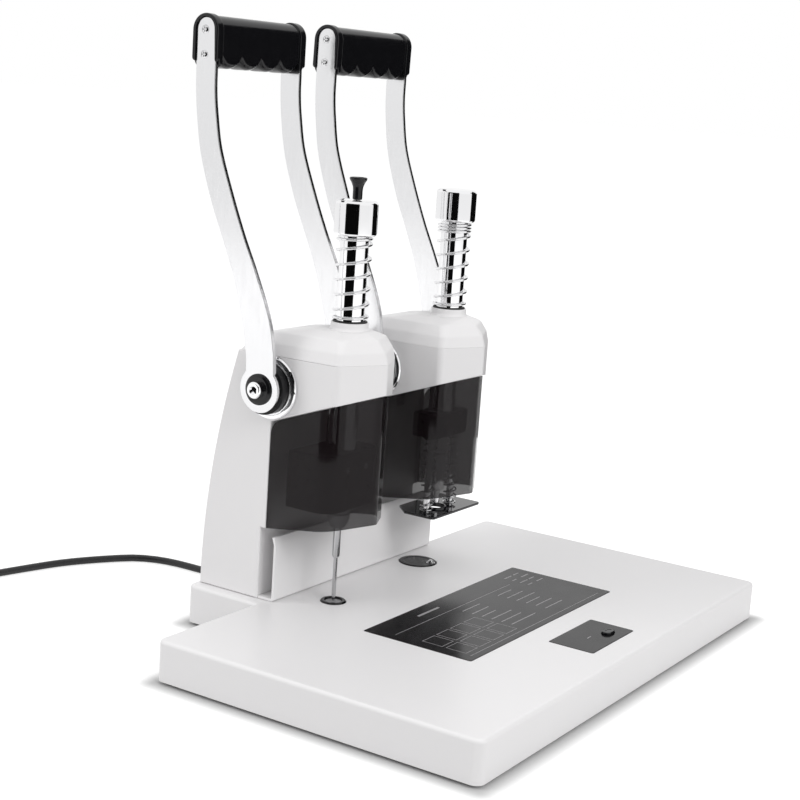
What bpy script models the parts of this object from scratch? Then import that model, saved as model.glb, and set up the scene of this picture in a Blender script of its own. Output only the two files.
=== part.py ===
"""Twin-lever binding machine: a drilling head and a riveting head on one column over a paper table.

Metres, +Z up, +X to the operator's right and +Y away from the operator. The origin is on the
floor, under the middle of the machine. Depths are measured back from the base's front edge.
"""
import math

import bmesh
import bpy
from mathutils import Matrix, Vector

# Fits that every piece shares
CLEARANCE = 0.0003          # between pieces that seat on each other
RUNNING = 0.0003            # round a shaft, rod or post that moves
OVERRUN = 0.004             # how far a cutter runs past what it opens
MERGE = 0.00001

# Base, measured from the floor and from its front edge
BASE_WIDTH = 0.465
BASE_DEPTH = 0.272
BASE_TOP = 0.0333
BASE_WALL = 0.003
BASE_CORNER = 0.007
BASE_EDGE = 0.003
TAIL_HALF_WIDTH = 0.1193
TAIL_DEPTH = 0.341
PLATE_THICKNESS = 0.003
FOOT_HEIGHT = 0.0025
FOOT_RADIUS = 0.009
FOOT_INSET = 0.028

# The quills' depth and the crease under the caps place the whole column and both heads
QUILL_DEPTH = 0.2319
CREASE_HEIGHT = 0.2270

# Column and the two head housings that it carries, as depths before and behind the quills
COLUMN_HALF_WIDTH = 0.1095
COLUMN_FACE_BEHIND = 0.0466
COLUMN_BACK_BEHIND = 0.1048
CREASE_BACK_BEHIND = 0.0763
STEP_FACE_BEHIND = 0.0414
COLUMN_WALL = 0.004
BRIDGE_RISE = 0.006
HEAD_SPACING = 0.143
HEAD_WIDTH = 0.076
HEAD_FRONT_BEFORE = 0.0368
HEAD_PROW = 0.50
HEAD_CORNER = 0.006
HEAD_TIP = 0.006
LIP_BACK_BEHIND = 0.0373
BACK_STEPS = 7

# Heights between the table and the crease, as shares of that rise
STEP_SHARE = 0.2979
BRIDGE_SHARE = 0.6438
LIP_FRONT_SHARE = 0.8788
LIP_BACK_SHARE = 0.7419
PIVOT_SHARE = 0.8730
COVER_FRONT_SHARE = 0.3567
COVER_BACK_SHARE = 0.2994
DRIVE_BOTTOM_SHARE = 0.4011
DRIVE_TOP_SHARE = 0.6335
CHUCK_BOTTOM_SHARE = 0.3134
BIT_TIP_SHARE = 0.1853
GUIDE_BOTTOM_SHARE = 0.5922
GUIDE_TOP_SHARE = 0.6954
PUNCH_SHOULDER_SHARE = 0.3443
PUNCH_TIP_SHARE = 0.2824
FOOT_PLATE_SHARE = 0.2597
GAUGE_TOP_SHARE = 0.2669
GAUGE_FOLD_SHARE = 0.2365

# Head caps, from the crease up to the collar that guides the quill
CAP_RISE = 0.0222
CAP_TOP_HALF = 0.0175
CAP_TOP_FRONT = 0.0155
CAP_TOP_BACK = 0.0180
CAP_TOP_CORNER = 0.0150
CAP_TOP_PROW = 0.05
COLLAR_RADIUS = 0.0145
COLLAR_RISE = 0.0070
# height, then side, front, back, corner and prow of each section, as shares from top to crease
CAP_SECTION_SHARES = (
    (0.00, 1.00, 1.00, 1.00, 1.00, 1.00),
    (0.39, 0.88, 0.87, 0.90, 0.90, 0.95),
    (0.77, 0.61, 0.54, 0.58, 0.65, 0.80),
    (0.94, 0.12, 0.14, 0.18, 0.12, 0.20),
    (1.00, 0.00, 0.00, 0.00, 0.00, 0.00),
)

# Quills, their chrome caps and the return springs round them
QUILL_RADIUS = 0.0109
QUILL_CAP_RADIUS = 0.0164
QUILL_CAP_LENGTH = 0.0265
QUILL_CAP_SEAT = 0.019
RIVET_QUILL_LIFT = 0.0062
QUILL_CAP_CHAMFER = 0.0014
POST_SPRING_SPACE = 0.0646
POST_WIRE = 0.002
POST_SPRING_RADIUS = 0.0130
DRILL_POST_CURLS = 7
RIVET_POST_CURLS = 9
RIVET_CLOSED_CURLS = 3
END_CURL_GAP = 0.0006
POST_CURL_POINTS = 9

# Rack and sector: full-depth involute teeth
TOOTH_MODULE = 0.002
SECTOR_TEETH_ROUND = 34
PRESSURE_ANGLE = math.radians(20)
ADDENDUM_SHARE = 1.0
DEDENDUM_SHARE = 1.25
BACKLASH = 0.00015
SECTOR_THICKNESS = 0.010
SECTOR_HUB_RADIUS = 0.011
SLOT_SIDE_GAP = 0.0012
SLOT_SLANT = 20
TEETH_BEYOND_MESH = 1.6
DRILL_TIP_STOP = 0.0003
FOOT_PLATE_STOP = 0.0013

# Lever pivots, from the head's side outwards
SHAFT_RADIUS = 0.006
RING_RADIUS = 0.0248
RING_THICKNESS = 0.003
HUB_RADIUS = 0.020
ARM_OFFSET = 0.0518
ARM_THICKNESS = 0.0035
ARM_EYE_RADIUS = 0.018
WASHER_RADIUS = 0.012
WASHER_THICKNESS = 0.0018
SCREW_HEAD_RADIUS = 0.00645
SCREW_HEAD_LENGTH = 0.005
SCREW_STUB_RADIUS = 0.004
SCREW_STUB_LENGTH = 0.012
HEX_RADIUS = 0.0034
HEX_DEPTH = 0.003
SMALL_CHAMFER = 0.0008

# Lever arms: a swept bar from the pivot's eye up to the grip
ARM_HEIGHT = 0.2718
ARM_REACH = 0.0659
ARM_NECK_WIDTH = 0.0265
RIVET_LEVER_LEAN = math.radians(1.5)
# forward to back, height and width along the arm, as shares of its reach, height and neck
ARM_STATION_SHARES = (
    (0.000, 0.080, 1.000),
    (0.094, 0.185, 0.980),
    (0.286, 0.307, 0.819),
    (0.475, 0.405, 0.743),
    (0.689, 0.519, 0.762),
    (0.867, 0.636, 0.721),
    (0.946, 0.733, 0.705),
    (0.979, 0.803, 0.694),
    (0.988, 0.873, 0.702),
    (1.000, 0.967, 0.664),
)
ARM_STEPS = 2

# Grips between the arms' ends
GRIP_HALF_LENGTH = 0.055
GRIP_FLANGE_LENGTH = 0.008
GRIP_FLANGE_HALF = 0.0122
GRIP_TOP = 0.2747
GRIP_BOTTOM = 0.2395
GRIP_INSET = 0.0012
GRIP_FLANGE_CORNER = 0.0025
GRIP_BODY_CORNER = 0.0055
GRIP_LOBES = 4
GRIP_LOBE_DROP = 0.006
GRIP_FLANGE_DROP = 0.0045
GRIP_FLANGE_STEP = 0.0035
GRIP_LOBE_STEPS = 4
GRIP_SIDE_POINTS = 3

# Smoked covers under the heads
COVER_FRONT_BEFORE = 0.0352
COVER_PROW = 0.52
COVER_CORNER = 0.022
COVER_TIP = 0.006
COVER_WALL = 0.0025
COVER_TOP_CORNER = 0.013

# Drilling head below the housing
DRIVE_FRONT_BEFORE = 0.0149
DRIVE_BACK_BEHIND = 0.0261
DRIVE_HALF_WIDTH = 0.034
DRIVE_CORNER = 0.014
CHUCK_RADIUS = 0.009
CHUCK_NOSE_RADIUS = 0.0055
BIT_RADIUS = 0.003
BIT_SHANK = 0.013
NEEDLE_RADIUS = 0.0016
NEEDLE_BORE_RADIUS = 0.0022
NEEDLE_KNOB_NECK = 0.0037
NEEDLE_KNOB_RADIUS = 0.0068
NEEDLE_KNOB_LENGTH = 0.0169
KNOB_NECK_SHARE = 0.58
KNOB_FLARE_SHARE = 0.78
NEEDLE_SOCKET = 0.011

# Riveting head below the housing
GUIDE_HALF_WIDTH = 0.0265
GUIDE_FRONT = 0.0125
GUIDE_REAR = 0.0135
GUIDE_CORNER = 0.006
ROD_OFFSET = 0.0183
ROD_FORWARD = 0.003
ROD_RADIUS = 0.003
ROD_HEAD_RADIUS = 0.0045
ROD_HEAD_LENGTH = 0.0025
GUIDE_WIRE = 0.0012
GUIDE_SPRING_RADIUS = 0.0052
GUIDE_CURLS = 12
GUIDE_CURL_POINTS = 8
PUNCH_RADIUS = 0.0065
PUNCH_TIP_RADIUS = 0.0035
FOOT_PLATE_THICKNESS = 0.002
FOOT_PLATE_LEFT = 0.032
FOOT_PLATE_RIGHT = 0.0445
FOOT_PLATE_FRONT = 0.0189
FOOT_PLATE_REAR = 0.024
FOOT_PLATE_CUT = 0.014
FOOT_PLATE_CORNER = 0.003
FOOT_PLATE_HOLE_RADIUS = 0.0085

# Paper gauge: a folded sheet that stands before the column
GAUGE_BEFORE_COLUMN = 0.0155
GAUGE_LEFT = -0.1087
GAUGE_RIGHT = 0.118
GAUGE_SHEET = 0.002
GAUGE_LIP_LEAN = 0.002

# What sits in the table
PAD_RING_RADIUS = 0.0102
PAD_RING_BORE = 0.0070
PAD_PROUD = 0.0012
PAD_RECESS = 0.0018
DIE_RADIUS = 0.0164
DIE_BEHIND = 0.011
DIE_LEFT = 0.0033
DIE_PROUD = 0.0008
DIE_SEAT_RADIUS = 0.0042
LOWER_DIE_RADIUS = 0.0028
LOWER_DIE_PROUD = 0.0030
LABEL_WIDTH = 0.2257
LABEL_DEPTH = 0.0937
LABEL_FRONT = 0.0806
SWITCH_WIDTH = 0.0697
SWITCH_DEPTH = 0.0372
SWITCH_FRONT = 0.0224
PANEL_THICKNESS = 0.0006
PANEL_RECESS = 0.0006
PANEL_CORNER = 0.0015
BUTTON_X = 0.015
BUTTON_DEPTH = 0.0347
BUTTON_LENGTH = 0.013
BUTTON_WIDTH = 0.008
BUTTON_PRESSED_PROUD = 0.0007
BUTTON_TRAVEL = 0.0015
BUTTON_FLANGE = 0.0015
BUTTON_FLANGE_THICKNESS = 0.001

# Mains cord: gland, free run, coil of the rest, and its plug
CORD_RADIUS = 0.0031
CORD_X = -0.008
CORD_LIFT = 0.0115
CORD_DESCENT = 0.036
DESCENT_STEPS = 5
GLAND_RADIUS = 0.0065
GLAND_STUB_RADIUS = 0.0048
GLAND_TIP_RADIUS = 0.0039
GLAND_LENGTH = 0.024
GLAND_FLANGE = 0.002
FLOOR_GAP = 0.00005
# points along the floor, as X and distance behind the tail
CORD_ROUTE = (
    (-0.0088, 0.0810),
    (-0.0095, 0.1040),
    (-0.0130, 0.1231),
    (-0.0210, 0.1396),
    (-0.0325, 0.1507),
    (-0.0571, 0.1661),
    (-0.0821, 0.1779),
    (-0.1107, 0.1862),
    (-0.1384, 0.1930),
    (-0.1600, 0.1975),
)
COIL_START_X = -0.190
COIL_START_BEHIND = 0.200
COIL_OUTER_RADIUS = 0.046
COIL_STEP = 0.007
COIL_LAYER = 0.0068
COIL_TURNS = 5.25
COIL_CLIMB_START = 2.5
COIL_CLIMB_TURNS = 0.5
COIL_START_TURN = 0.25
COIL_LOOP_POINTS = 24
COIL_LEAD_OUT = 0.038
RUN_SPACING = 0.013
PLUG_BACK_RADIUS = 0.0055
PLUG_RADIUS = 0.0098
PLUG_LENGTH = 0.034
PLUG_TAIL = 0.012
PIN_RADIUS = 0.002
PIN_OFFSET = 0.0055
PIN_LENGTH = 0.019

# Sides of round pieces
FINE_SIDES = 28
ROUND_SIDES = 20
PLUG_SIDES = 16
SMALL_SIDES = 12
HEX_SIDES = 6
ARC_STEPS = 4
SLOT_STEPS = 20
HUB_STEPS = 12
EYE_STEPS = 16
COVER_STEPS = 8
FEW_STEPS = 3
LINE_STEPS = 16
EDGE_ANGLE = math.radians(30)

# Worked out from the sizes above: depths
COLUMN_FACE = QUILL_DEPTH + COLUMN_FACE_BEHIND
COLUMN_BACK = QUILL_DEPTH + COLUMN_BACK_BEHIND
CREASE_BACK = QUILL_DEPTH + CREASE_BACK_BEHIND
STEP_FACE = QUILL_DEPTH + STEP_FACE_BEHIND
HEAD_FRONT = QUILL_DEPTH - HEAD_FRONT_BEFORE
HEAD_LIP_DEPTH = QUILL_DEPTH + LIP_BACK_BEHIND
COVER_FRONT = QUILL_DEPTH - COVER_FRONT_BEFORE
COVER_BACK = STEP_FACE - CLEARANCE
DRIVE_FRONT = QUILL_DEPTH - DRIVE_FRONT_BEFORE
DRIVE_BACK = QUILL_DEPTH + DRIVE_BACK_BEHIND
GAUGE_FACE = COLUMN_FACE - GAUGE_BEFORE_COLUMN


def level(share):
    """A height between the table and the crease, from its share of that rise."""
    return BASE_TOP + (CREASE_HEIGHT - BASE_TOP) * share


# Worked out from the sizes above: heights
STEP_HEIGHT = level(STEP_SHARE)
BRIDGE_HEIGHT = level(BRIDGE_SHARE)
HEAD_LIP_FRONT = level(LIP_FRONT_SHARE)
HEAD_LIP_BACK = level(LIP_BACK_SHARE)
PIVOT_HEIGHT = level(PIVOT_SHARE)
COVER_BOTTOM_FRONT = level(COVER_FRONT_SHARE)
COVER_BOTTOM_BACK = level(COVER_BACK_SHARE)
DRIVE_BOTTOM = level(DRIVE_BOTTOM_SHARE)
DRIVE_TOP = level(DRIVE_TOP_SHARE)
CHUCK_BOTTOM = level(CHUCK_BOTTOM_SHARE)
BIT_TIP = level(BIT_TIP_SHARE)
GUIDE_BOTTOM = level(GUIDE_BOTTOM_SHARE)
GUIDE_TOP = level(GUIDE_TOP_SHARE)
PUNCH_SHOULDER = level(PUNCH_SHOULDER_SHARE)
PUNCH_TIP = level(PUNCH_TIP_SHARE)
FOOT_PLATE_TOP = level(FOOT_PLATE_SHARE)
GAUGE_TOP = level(GAUGE_TOP_SHARE)
GAUGE_FOLD = level(GAUGE_FOLD_SHARE)
DRILL_STROKE = BIT_TIP - BASE_TOP - DRILL_TIP_STOP
RIVET_STROKE = FOOT_PLATE_TOP - FOOT_PLATE_THICKNESS - BASE_TOP - FOOT_PLATE_STOP
COLLAR_TOP = CREASE_HEIGHT + CAP_RISE + COLLAR_RISE
QUILL_CAP_BOTTOM = COLLAR_TOP + POST_SPRING_SPACE

# Worked out from the sizes above: the drives, the levers and the whole
PIVOT_BEHIND_QUILL = (SECTOR_TEETH_ROUND * TOOTH_MODULE / 2
                      + QUILL_RADIUS - TOOTH_MODULE * ADDENDUM_SHARE - SMALL_CHAMFER / 2)
PIVOT_DEPTH = QUILL_DEPTH + PIVOT_BEHIND_QUILL
PITCH_RADIUS = SECTOR_TEETH_ROUND * TOOTH_MODULE / 2
TOOTH_PITCH = math.pi * TOOTH_MODULE
TIP_RADIUS = PITCH_RADIUS + TOOTH_MODULE * ADDENDUM_SHARE
ROOT_RADIUS = PITCH_RADIUS - TOOTH_MODULE * DEDENDUM_SHARE
MACHINE_DEPTH = PIVOT_DEPTH + ARM_REACH + GRIP_FLANGE_HALF
HEAD_HALF = HEAD_WIDTH / 2
LIP_SLOPE = (HEAD_LIP_FRONT - HEAD_LIP_BACK) / (HEAD_LIP_DEPTH - HEAD_FRONT)
CAP_BOTTOM = CREASE_HEIGHT + CLEARANCE
SHAFT_HALF = ARM_OFFSET + ARM_THICKNESS / 2 - CLEARANCE
BORE_RADIUS = SHAFT_RADIUS + RUNNING
DRILL_X = -HEAD_SPACING / 2
RIVET_X = HEAD_SPACING / 2


def behind(depth):
    """The Y of a depth that is measured back from the base's front edge."""
    return depth - MACHINE_DEPTH / 2


QUILL_Y = behind(QUILL_DEPTH)
PIVOT_Y = behind(PIVOT_DEPTH)


def clear_scene():
    for old in list(bpy.data.objects):
        bpy.data.objects.remove(old)


def new_collection(name):
    collection = bpy.data.collections.new(name)
    bpy.context.scene.collection.children.link(collection)
    return collection


clear_scene()
MACHINE = new_collection("binding_machine")
CUTTERS = new_collection("cutters")


def material(name, colour, roughness, metallic=0.0, alpha=1.0):
    finish = bpy.data.materials.new(name)
    finish.use_nodes = True
    shader = finish.node_tree.nodes["Principled BSDF"]
    shader.inputs["Base Color"].default_value = (*colour, 1.0)
    shader.inputs["Roughness"].default_value = roughness
    shader.inputs["Metallic"].default_value = metallic
    shader.inputs["Alpha"].default_value = alpha
    finish.diffuse_color = (*colour, alpha)
    return finish


WHITE_PAINT = material("white_paint", (0.80, 0.80, 0.80), 0.35)
GREY_STEEL = material("grey_steel", (0.45, 0.45, 0.46), 0.45, 0.9)
BRIGHT_STEEL = material("bright_steel", (0.86, 0.86, 0.87), 0.22, 1.0)
CHROME = material("chrome", (0.92, 0.92, 0.93), 0.06, 1.0)
SPRING_STEEL = material("spring_steel", (0.70, 0.70, 0.71), 0.25, 1.0)
BLACK_PLASTIC = material("black_plastic", (0.012, 0.012, 0.014), 0.22)
BLACK_PAINT = material("black_paint", (0.02, 0.02, 0.02), 0.35)
BLACK_MIRROR = material("black_mirror", (0.015, 0.015, 0.017), 0.08)
SMOKED_PLASTIC = material("smoked_plastic", (0.05, 0.045, 0.045), 0.08, 0.0, 0.75)
PANEL_FILM = material("panel_film", (0.02, 0.02, 0.022), 0.3)
BLACK_RUBBER = material("black_rubber", (0.02, 0.02, 0.02), 0.6)
CORD_RUBBER = material("cord_rubber", (0.015, 0.015, 0.015), 0.4)


def add_object(name, data, place, carrier=None, collection=MACHINE):
    """Link an object at a world place, under an empty if one carries it."""
    item = bpy.data.objects.new(name, data)
    collection.objects.link(item)
    item.location = Vector(place)
    if carrier is not None:
        item.parent = carrier
        item.location -= carrier.location
    return item


def axis_empty(name, place):
    """An empty on a joint's axis, which the pieces that move with the joint hang from."""
    empty = add_object(name, None, place)
    empty.empty_display_size = SHAFT_RADIUS
    return empty


def as_cutter(item):
    """Move an object in with the cutters, where it is only drawn as wire."""
    for collection in list(item.users_collection):
        collection.objects.unlink(item)
    CUTTERS.objects.link(item)
    item.hide_render = True
    item.display_type = "WIRE"
    return item


def change(target, tool, operation):
    """Cut a solid with a tool, or join or trim it by one."""
    modifier = target.modifiers.new(tool.name, "BOOLEAN")
    modifier.operation = operation
    modifier.solver = "EXACT"
    modifier.object = as_cutter(tool)
    return target


def mesh_object(name, shape, finish, place, carrier=None):
    """An object from a bmesh, shaded smooth but for its real edges."""
    bmesh.ops.recalc_face_normals(shape, faces=shape.faces)
    mesh = bpy.data.meshes.new(name)
    shape.to_mesh(mesh)
    shape.free()
    mesh.materials.append(finish)
    mesh.shade_smooth()
    mesh.set_sharp_from_angle(angle=EDGE_ANGLE)
    return add_object(name, mesh, place, carrier)


def arc(centre, radius, start, end, steps):
    """Points on an arc between two angles in degrees, both ends included."""
    points = []
    for step in range(steps + 1):
        angle = math.radians(start + (end - start) * step / steps)
        points.append((centre[0] + radius * math.cos(angle), centre[1] + radius * math.sin(angle)))
    return points


def circle(radius, sides, centre=(0, 0)):
    return arc(centre, radius, 0, 360, sides)[:-1]


def rounded_box(left, right, low, high, radius, steps=ARC_STEPS):
    """A rectangle's outline with one radius on its four corners, anticlockwise."""
    outline = arc((right - radius, low + radius), radius, -90, 0, steps)
    outline += arc((right - radius, high - radius), radius, 0, 90, steps)
    outline += arc((left + radius, high - radius), radius, 90, 180, steps)
    outline += arc((left + radius, low + radius), radius, 180, 270, steps)
    return outline


def prow(x, half, front, slope, tip, corner, inset=0.0, steps=ARC_STEPS):
    """The front of a head from above, left to right: two faces that meet in a blunt edge."""
    turn = math.atan(slope)
    fall = math.degrees(turn)
    point = front - tip * (1 / math.cos(turn) - 1)
    side_y = point + slope * (half - corner) + corner / math.cos(turn)
    outline = arc((x - half + corner, side_y), corner - inset, 180, 270 - fall, steps)
    outline += arc((x, point + tip / math.cos(turn)), tip - inset, 270 - fall, 270 + fall, 2)
    outline += arc((x + half - corner, side_y), corner - inset, 270 + fall, 360, steps)
    return outline


def flat_shape(name, outlines, thickness, finish, place, turn=(0, 0, 0), carrier=None):
    """A flat piece from one outline and its holes, with its mid-plane at the place."""
    curve = bpy.data.curves.new(name, "CURVE")
    curve.dimensions = "2D"
    curve.fill_mode = "BOTH"
    curve.extrude = thickness / 2
    for outline in outlines:
        spline = curve.splines.new("POLY")
        spline.points.add(len(outline) - 1)
        for point, (across, up) in zip(spline.points, outline):
            point.co = (across, up, 0, 1)
        spline.use_cyclic_u = True
    curve.materials.append(finish)
    item = add_object(name, curve, place, carrier)
    item.rotation_euler = turn
    return item


# An outline in depth and height, which the thickness carries along X
SIDE_VIEW = (math.radians(90), 0, math.radians(90))


def made_solid(curved):
    """The mesh object of a curve, with its loose caps welded, so that it can be cut."""
    bpy.context.view_layer.update()
    evaluated = curved.evaluated_get(bpy.context.evaluated_depsgraph_get())
    mesh = bpy.data.meshes.new_from_object(evaluated)
    shape = bmesh.new()
    shape.from_mesh(mesh)
    bmesh.ops.remove_doubles(shape, verts=shape.verts, dist=MERGE)
    bmesh.ops.recalc_face_normals(shape, faces=shape.faces)
    shape.to_mesh(mesh)
    shape.free()
    name, parent = curved.name, curved.parent
    world = curved.matrix_world.copy()
    bpy.data.objects.remove(curved)
    item = add_object(name, mesh, (0, 0, 0))
    item.name = name
    item.parent = parent
    item.matrix_world = world
    return item


def prism(name, outline, thickness, finish, place, turn=(0, 0, 0), carrier=None):
    """A solid of one outline, as a mesh that can be cut."""
    return made_solid(flat_shape(name, [outline], thickness, finish, place, turn, carrier))


def round_edges(item, chosen, radius, steps):
    """Round the edges whose two ends both pass the test, on the item's own mesh."""
    shape = bmesh.new()
    shape.from_mesh(item.data)
    edges = [edge for edge in shape.edges
             if all(chosen(item.matrix_world @ corner.co) for corner in edge.verts)
             and edge.calc_face_angle(0) > EDGE_ANGLE]
    bmesh.ops.bevel(shape, geom=edges, offset=radius, segments=steps, profile=0.5,
                    affect="EDGES", clamp_overlap=True)
    shape.to_mesh(item.data)
    shape.free()
    item.data.shade_smooth()
    item.data.set_sharp_from_angle(angle=EDGE_ANGLE)
    return item


def turned(name, profile, finish, place, sides=ROUND_SIDES, ring=False, turn=(0, 0, 0), carrier=None):
    """A turned piece: radius and height down its outer side, then back up the bore of a ring."""
    shape = bmesh.new()
    corners = [shape.verts.new((radius, 0, height)) for radius, height in profile]
    for first, second in zip(corners, corners[1:]):
        shape.edges.new((first, second))
    if ring:
        shape.edges.new((corners[-1], corners[0]))
    mesh = bpy.data.meshes.new(name)
    shape.to_mesh(mesh)
    shape.free()
    mesh.materials.append(finish)
    item = add_object(name, mesh, place, carrier)
    item.rotation_euler = turn
    screw = item.modifiers.new("turn", "SCREW")
    screw.steps = sides
    screw.render_steps = sides
    screw.use_merge_vertices = True
    screw.merge_threshold = MERGE
    screw.use_smooth_shade = True
    return item


def round_bar(name, radius, length, place, sides=ROUND_SIDES, turn=(0, 0, 0), carrier=None,
              finish=GREY_STEEL):
    """A plain cylinder with its middle at the place."""
    shape = bmesh.new()
    bmesh.ops.create_cone(shape, cap_ends=True, segments=sides, radius1=radius, radius2=radius,
                          depth=length)
    item = mesh_object(name, shape, finish, place, carrier)
    item.rotation_euler = turn
    return item


def upright_bar(name, radius, low, high, x, y, sides=ROUND_SIDES):
    return round_bar(name, radius, high - low, (x, y, (low + high) / 2), sides)


def loft(rings):
    """A closed solid through rings that have the same number of points."""
    shape = bmesh.new()
    loops = [[shape.verts.new(point) for point in ring] for ring in rings]
    count = len(loops[0])
    for lower, upper in zip(loops, loops[1:]):
        for i in range(count):
            after = (i + 1) % count
            shape.faces.new((lower[i], lower[after], upper[after], upper[i]))
    shape.faces.new(list(reversed(loops[0])))
    shape.faces.new(loops[-1])
    return shape


def tube(name, points, radius, resolution, finish, carrier=None):
    """A round wire or cord through points in world space, with flat ends."""
    curve = bpy.data.curves.new(name, "CURVE")
    curve.dimensions = "3D"
    curve.bevel_depth = radius
    curve.bevel_resolution = resolution
    curve.use_fill_caps = True
    spline = curve.splines.new("POLY")
    spline.points.add(len(points) - 1)
    origin = Vector(carrier.location) if carrier is not None else Vector((0, 0, 0))
    for corner, point in zip(spline.points, points):
        corner.co = (*(Vector(point) - origin), 1)
    curve.materials.append(finish)
    return add_object(name, curve, origin, carrier)


def least_gap(points, diameter, apart):
    """The least gap of a tube to itself, between points at least this many steps apart."""
    least = math.inf
    for i, first in enumerate(points):
        for second in points[i + apart:]:
            least = min(least, (Vector(first) - Vector(second)).length)
    return least - diameter


def helix(centre_x, centre_y, radius, wire, low, high, curls, curl_points, closed):
    """A compression spring's points: a closed curl below, the closed ones on top, even between."""
    end_rise = wire + END_CURL_GAP
    first, last = low + wire / 2, high - wire / 2
    open_curls = curls - 1 - closed
    middle_rise = (last - first - (1 + closed) * end_rise) / open_curls
    points = []
    for step in range(curls * curl_points + 1):
        turns = step / curl_points
        rise = end_rise * min(turns, 1)
        rise += middle_rise * min(max(turns - 1, 0), open_curls)
        rise += end_rise * max(turns - curls + closed, 0)
        angle = 2 * math.pi * turns
        points.append((centre_x + radius * math.cos(angle), centre_y + radius * math.sin(angle),
                       first + rise))
    return points


def spring(name, centre_x, centre_y, radius, wire, low, high, curls, curl_points, closed=1):
    points = helix(centre_x, centre_y, radius, wire, low, high, curls, curl_points, closed)
    gap = least_gap(points, wire, curl_points - 1)
    print(f"{name}: {curls} curls, least gap {gap * 1000:.2f} mm")
    return tube(name, points, wire / 2, 1, SPRING_STEEL)


# Base

def base_outline(inset):
    """The base's footprint with the narrower tail behind it, drawn in by an even inset."""
    half = BASE_WIDTH / 2 - inset
    tail = TAIL_HALF_WIDTH - inset
    front, back, rear = behind(inset), behind(BASE_DEPTH - inset), behind(TAIL_DEPTH - inset)
    radius = BASE_CORNER - min(inset, BASE_CORNER / 2)
    outline = arc((half - radius, front + radius), radius, -90, 0, ARC_STEPS)
    outline += arc((half - radius, back - radius), radius, 0, 90, ARC_STEPS)
    outline += [(tail, back)]
    outline += arc((tail - radius, rear - radius), radius, 0, 90, ARC_STEPS)
    outline += arc((-tail + radius, rear - radius), radius, 90, 180, ARC_STEPS)
    outline += [(-tail, back)]
    outline += arc((-half + radius, back - radius), radius, 90, 180, ARC_STEPS)
    outline += arc((-half + radius, front + radius), radius, 180, 270, ARC_STEPS)
    return outline


def middle(low, high):
    return (0, 0, (low + high) / 2)


def panel_outline(width, front, depth, gap=0.0):
    return rounded_box(-width / 2 - gap, width / 2 + gap, behind(front) - gap,
                       behind(front + depth) + gap, PANEL_CORNER + gap, 2)


def button_outline(margin):
    """The oval of the power button, grown by a margin."""
    radius = BUTTON_WIDTH / 2 + margin
    straight = (BUTTON_LENGTH - BUTTON_WIDTH) / 2
    right = (BUTTON_X + straight, behind(BUTTON_DEPTH))
    left = (BUTTON_X - straight, behind(BUTTON_DEPTH))
    return arc(right, radius, -90, 90, SMALL_SIDES // 2) + arc(left, radius, 90, 270, SMALL_SIDES // 2)


def build_base():
    """The white table: a hollow shell, open below, with its recesses."""
    shell = prism("base_shell", base_outline(0), BASE_TOP - FOOT_HEIGHT, WHITE_PAINT,
                  middle(FOOT_HEIGHT, BASE_TOP))
    round_edges(shell, lambda corner: corner.z > BASE_TOP - MERGE, BASE_EDGE, FEW_STEPS)
    ceiling = BASE_TOP - BASE_WALL
    low = FOOT_HEIGHT - OVERRUN
    change(shell, prism("base_hollow", base_outline(BASE_WALL), ceiling - low, WHITE_PAINT,
                        middle(low, ceiling)), "DIFFERENCE")
    floor = BASE_TOP - PANEL_RECESS
    above = BASE_TOP + OVERRUN
    for name, width, front, depth in (("label_recess", LABEL_WIDTH, LABEL_FRONT, LABEL_DEPTH),
                                      ("switch_recess", SWITCH_WIDTH, SWITCH_FRONT, SWITCH_DEPTH)):
        outline = panel_outline(width, front, depth, CLEARANCE)
        change(shell, prism(name, outline, above - floor, WHITE_PAINT, middle(floor, above)),
               "DIFFERENCE")
    hole_low = ceiling - OVERRUN
    change(shell, prism("button_hole", button_outline(CLEARANCE), above - hole_low, WHITE_PAINT,
                        middle(hole_low, above)), "DIFFERENCE")
    pad_floor = BASE_TOP - PAD_RECESS
    change(shell, upright_bar("pad_recess", PAD_RING_RADIUS + CLEARANCE, pad_floor, above,
                              DRILL_X, QUILL_Y), "DIFFERENCE")
    change(shell, upright_bar("die_recess", DIE_RADIUS + CLEARANCE, pad_floor, above,
                              RIVET_X - DIE_LEFT, QUILL_Y + DIE_BEHIND, FINE_SIDES), "DIFFERENCE")
    gland_hole = round_bar("gland_hole", GLAND_STUB_RADIUS + CLEARANCE, BASE_WALL + 2 * OVERRUN,
                           (CORD_X, behind(TAIL_DEPTH - BASE_WALL / 2), CORD_LIFT), SMALL_SIDES,
                           (math.radians(90), 0, 0))
    change(shell, gland_hole, "DIFFERENCE")


def build_base_plate():
    """The steel plate that closes the shell from below and carries the feet."""
    low = FOOT_HEIGHT + CLEARANCE
    flat_shape("base_plate", [base_outline(BASE_WALL + CLEARANCE)], PLATE_THICKNESS, GREY_STEEL,
               middle(low, low + PLATE_THICKNESS))
    foot_x = BASE_WIDTH / 2 - FOOT_INSET
    for depth_name, depth in (("front", FOOT_INSET), ("rear", BASE_DEPTH - FOOT_INSET)):
        for side_name, side in (("left", -1), ("right", 1)):
            profile = [(0, FOOT_HEIGHT), (FOOT_RADIUS, FOOT_HEIGHT),
                       (FOOT_RADIUS - SMALL_CHAMFER, 0), (0, 0)]
            turned(f"foot_{depth_name}_{side_name}", profile, BLACK_RUBBER,
                   (side * foot_x, behind(depth), 0), SMALL_SIDES)


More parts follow.
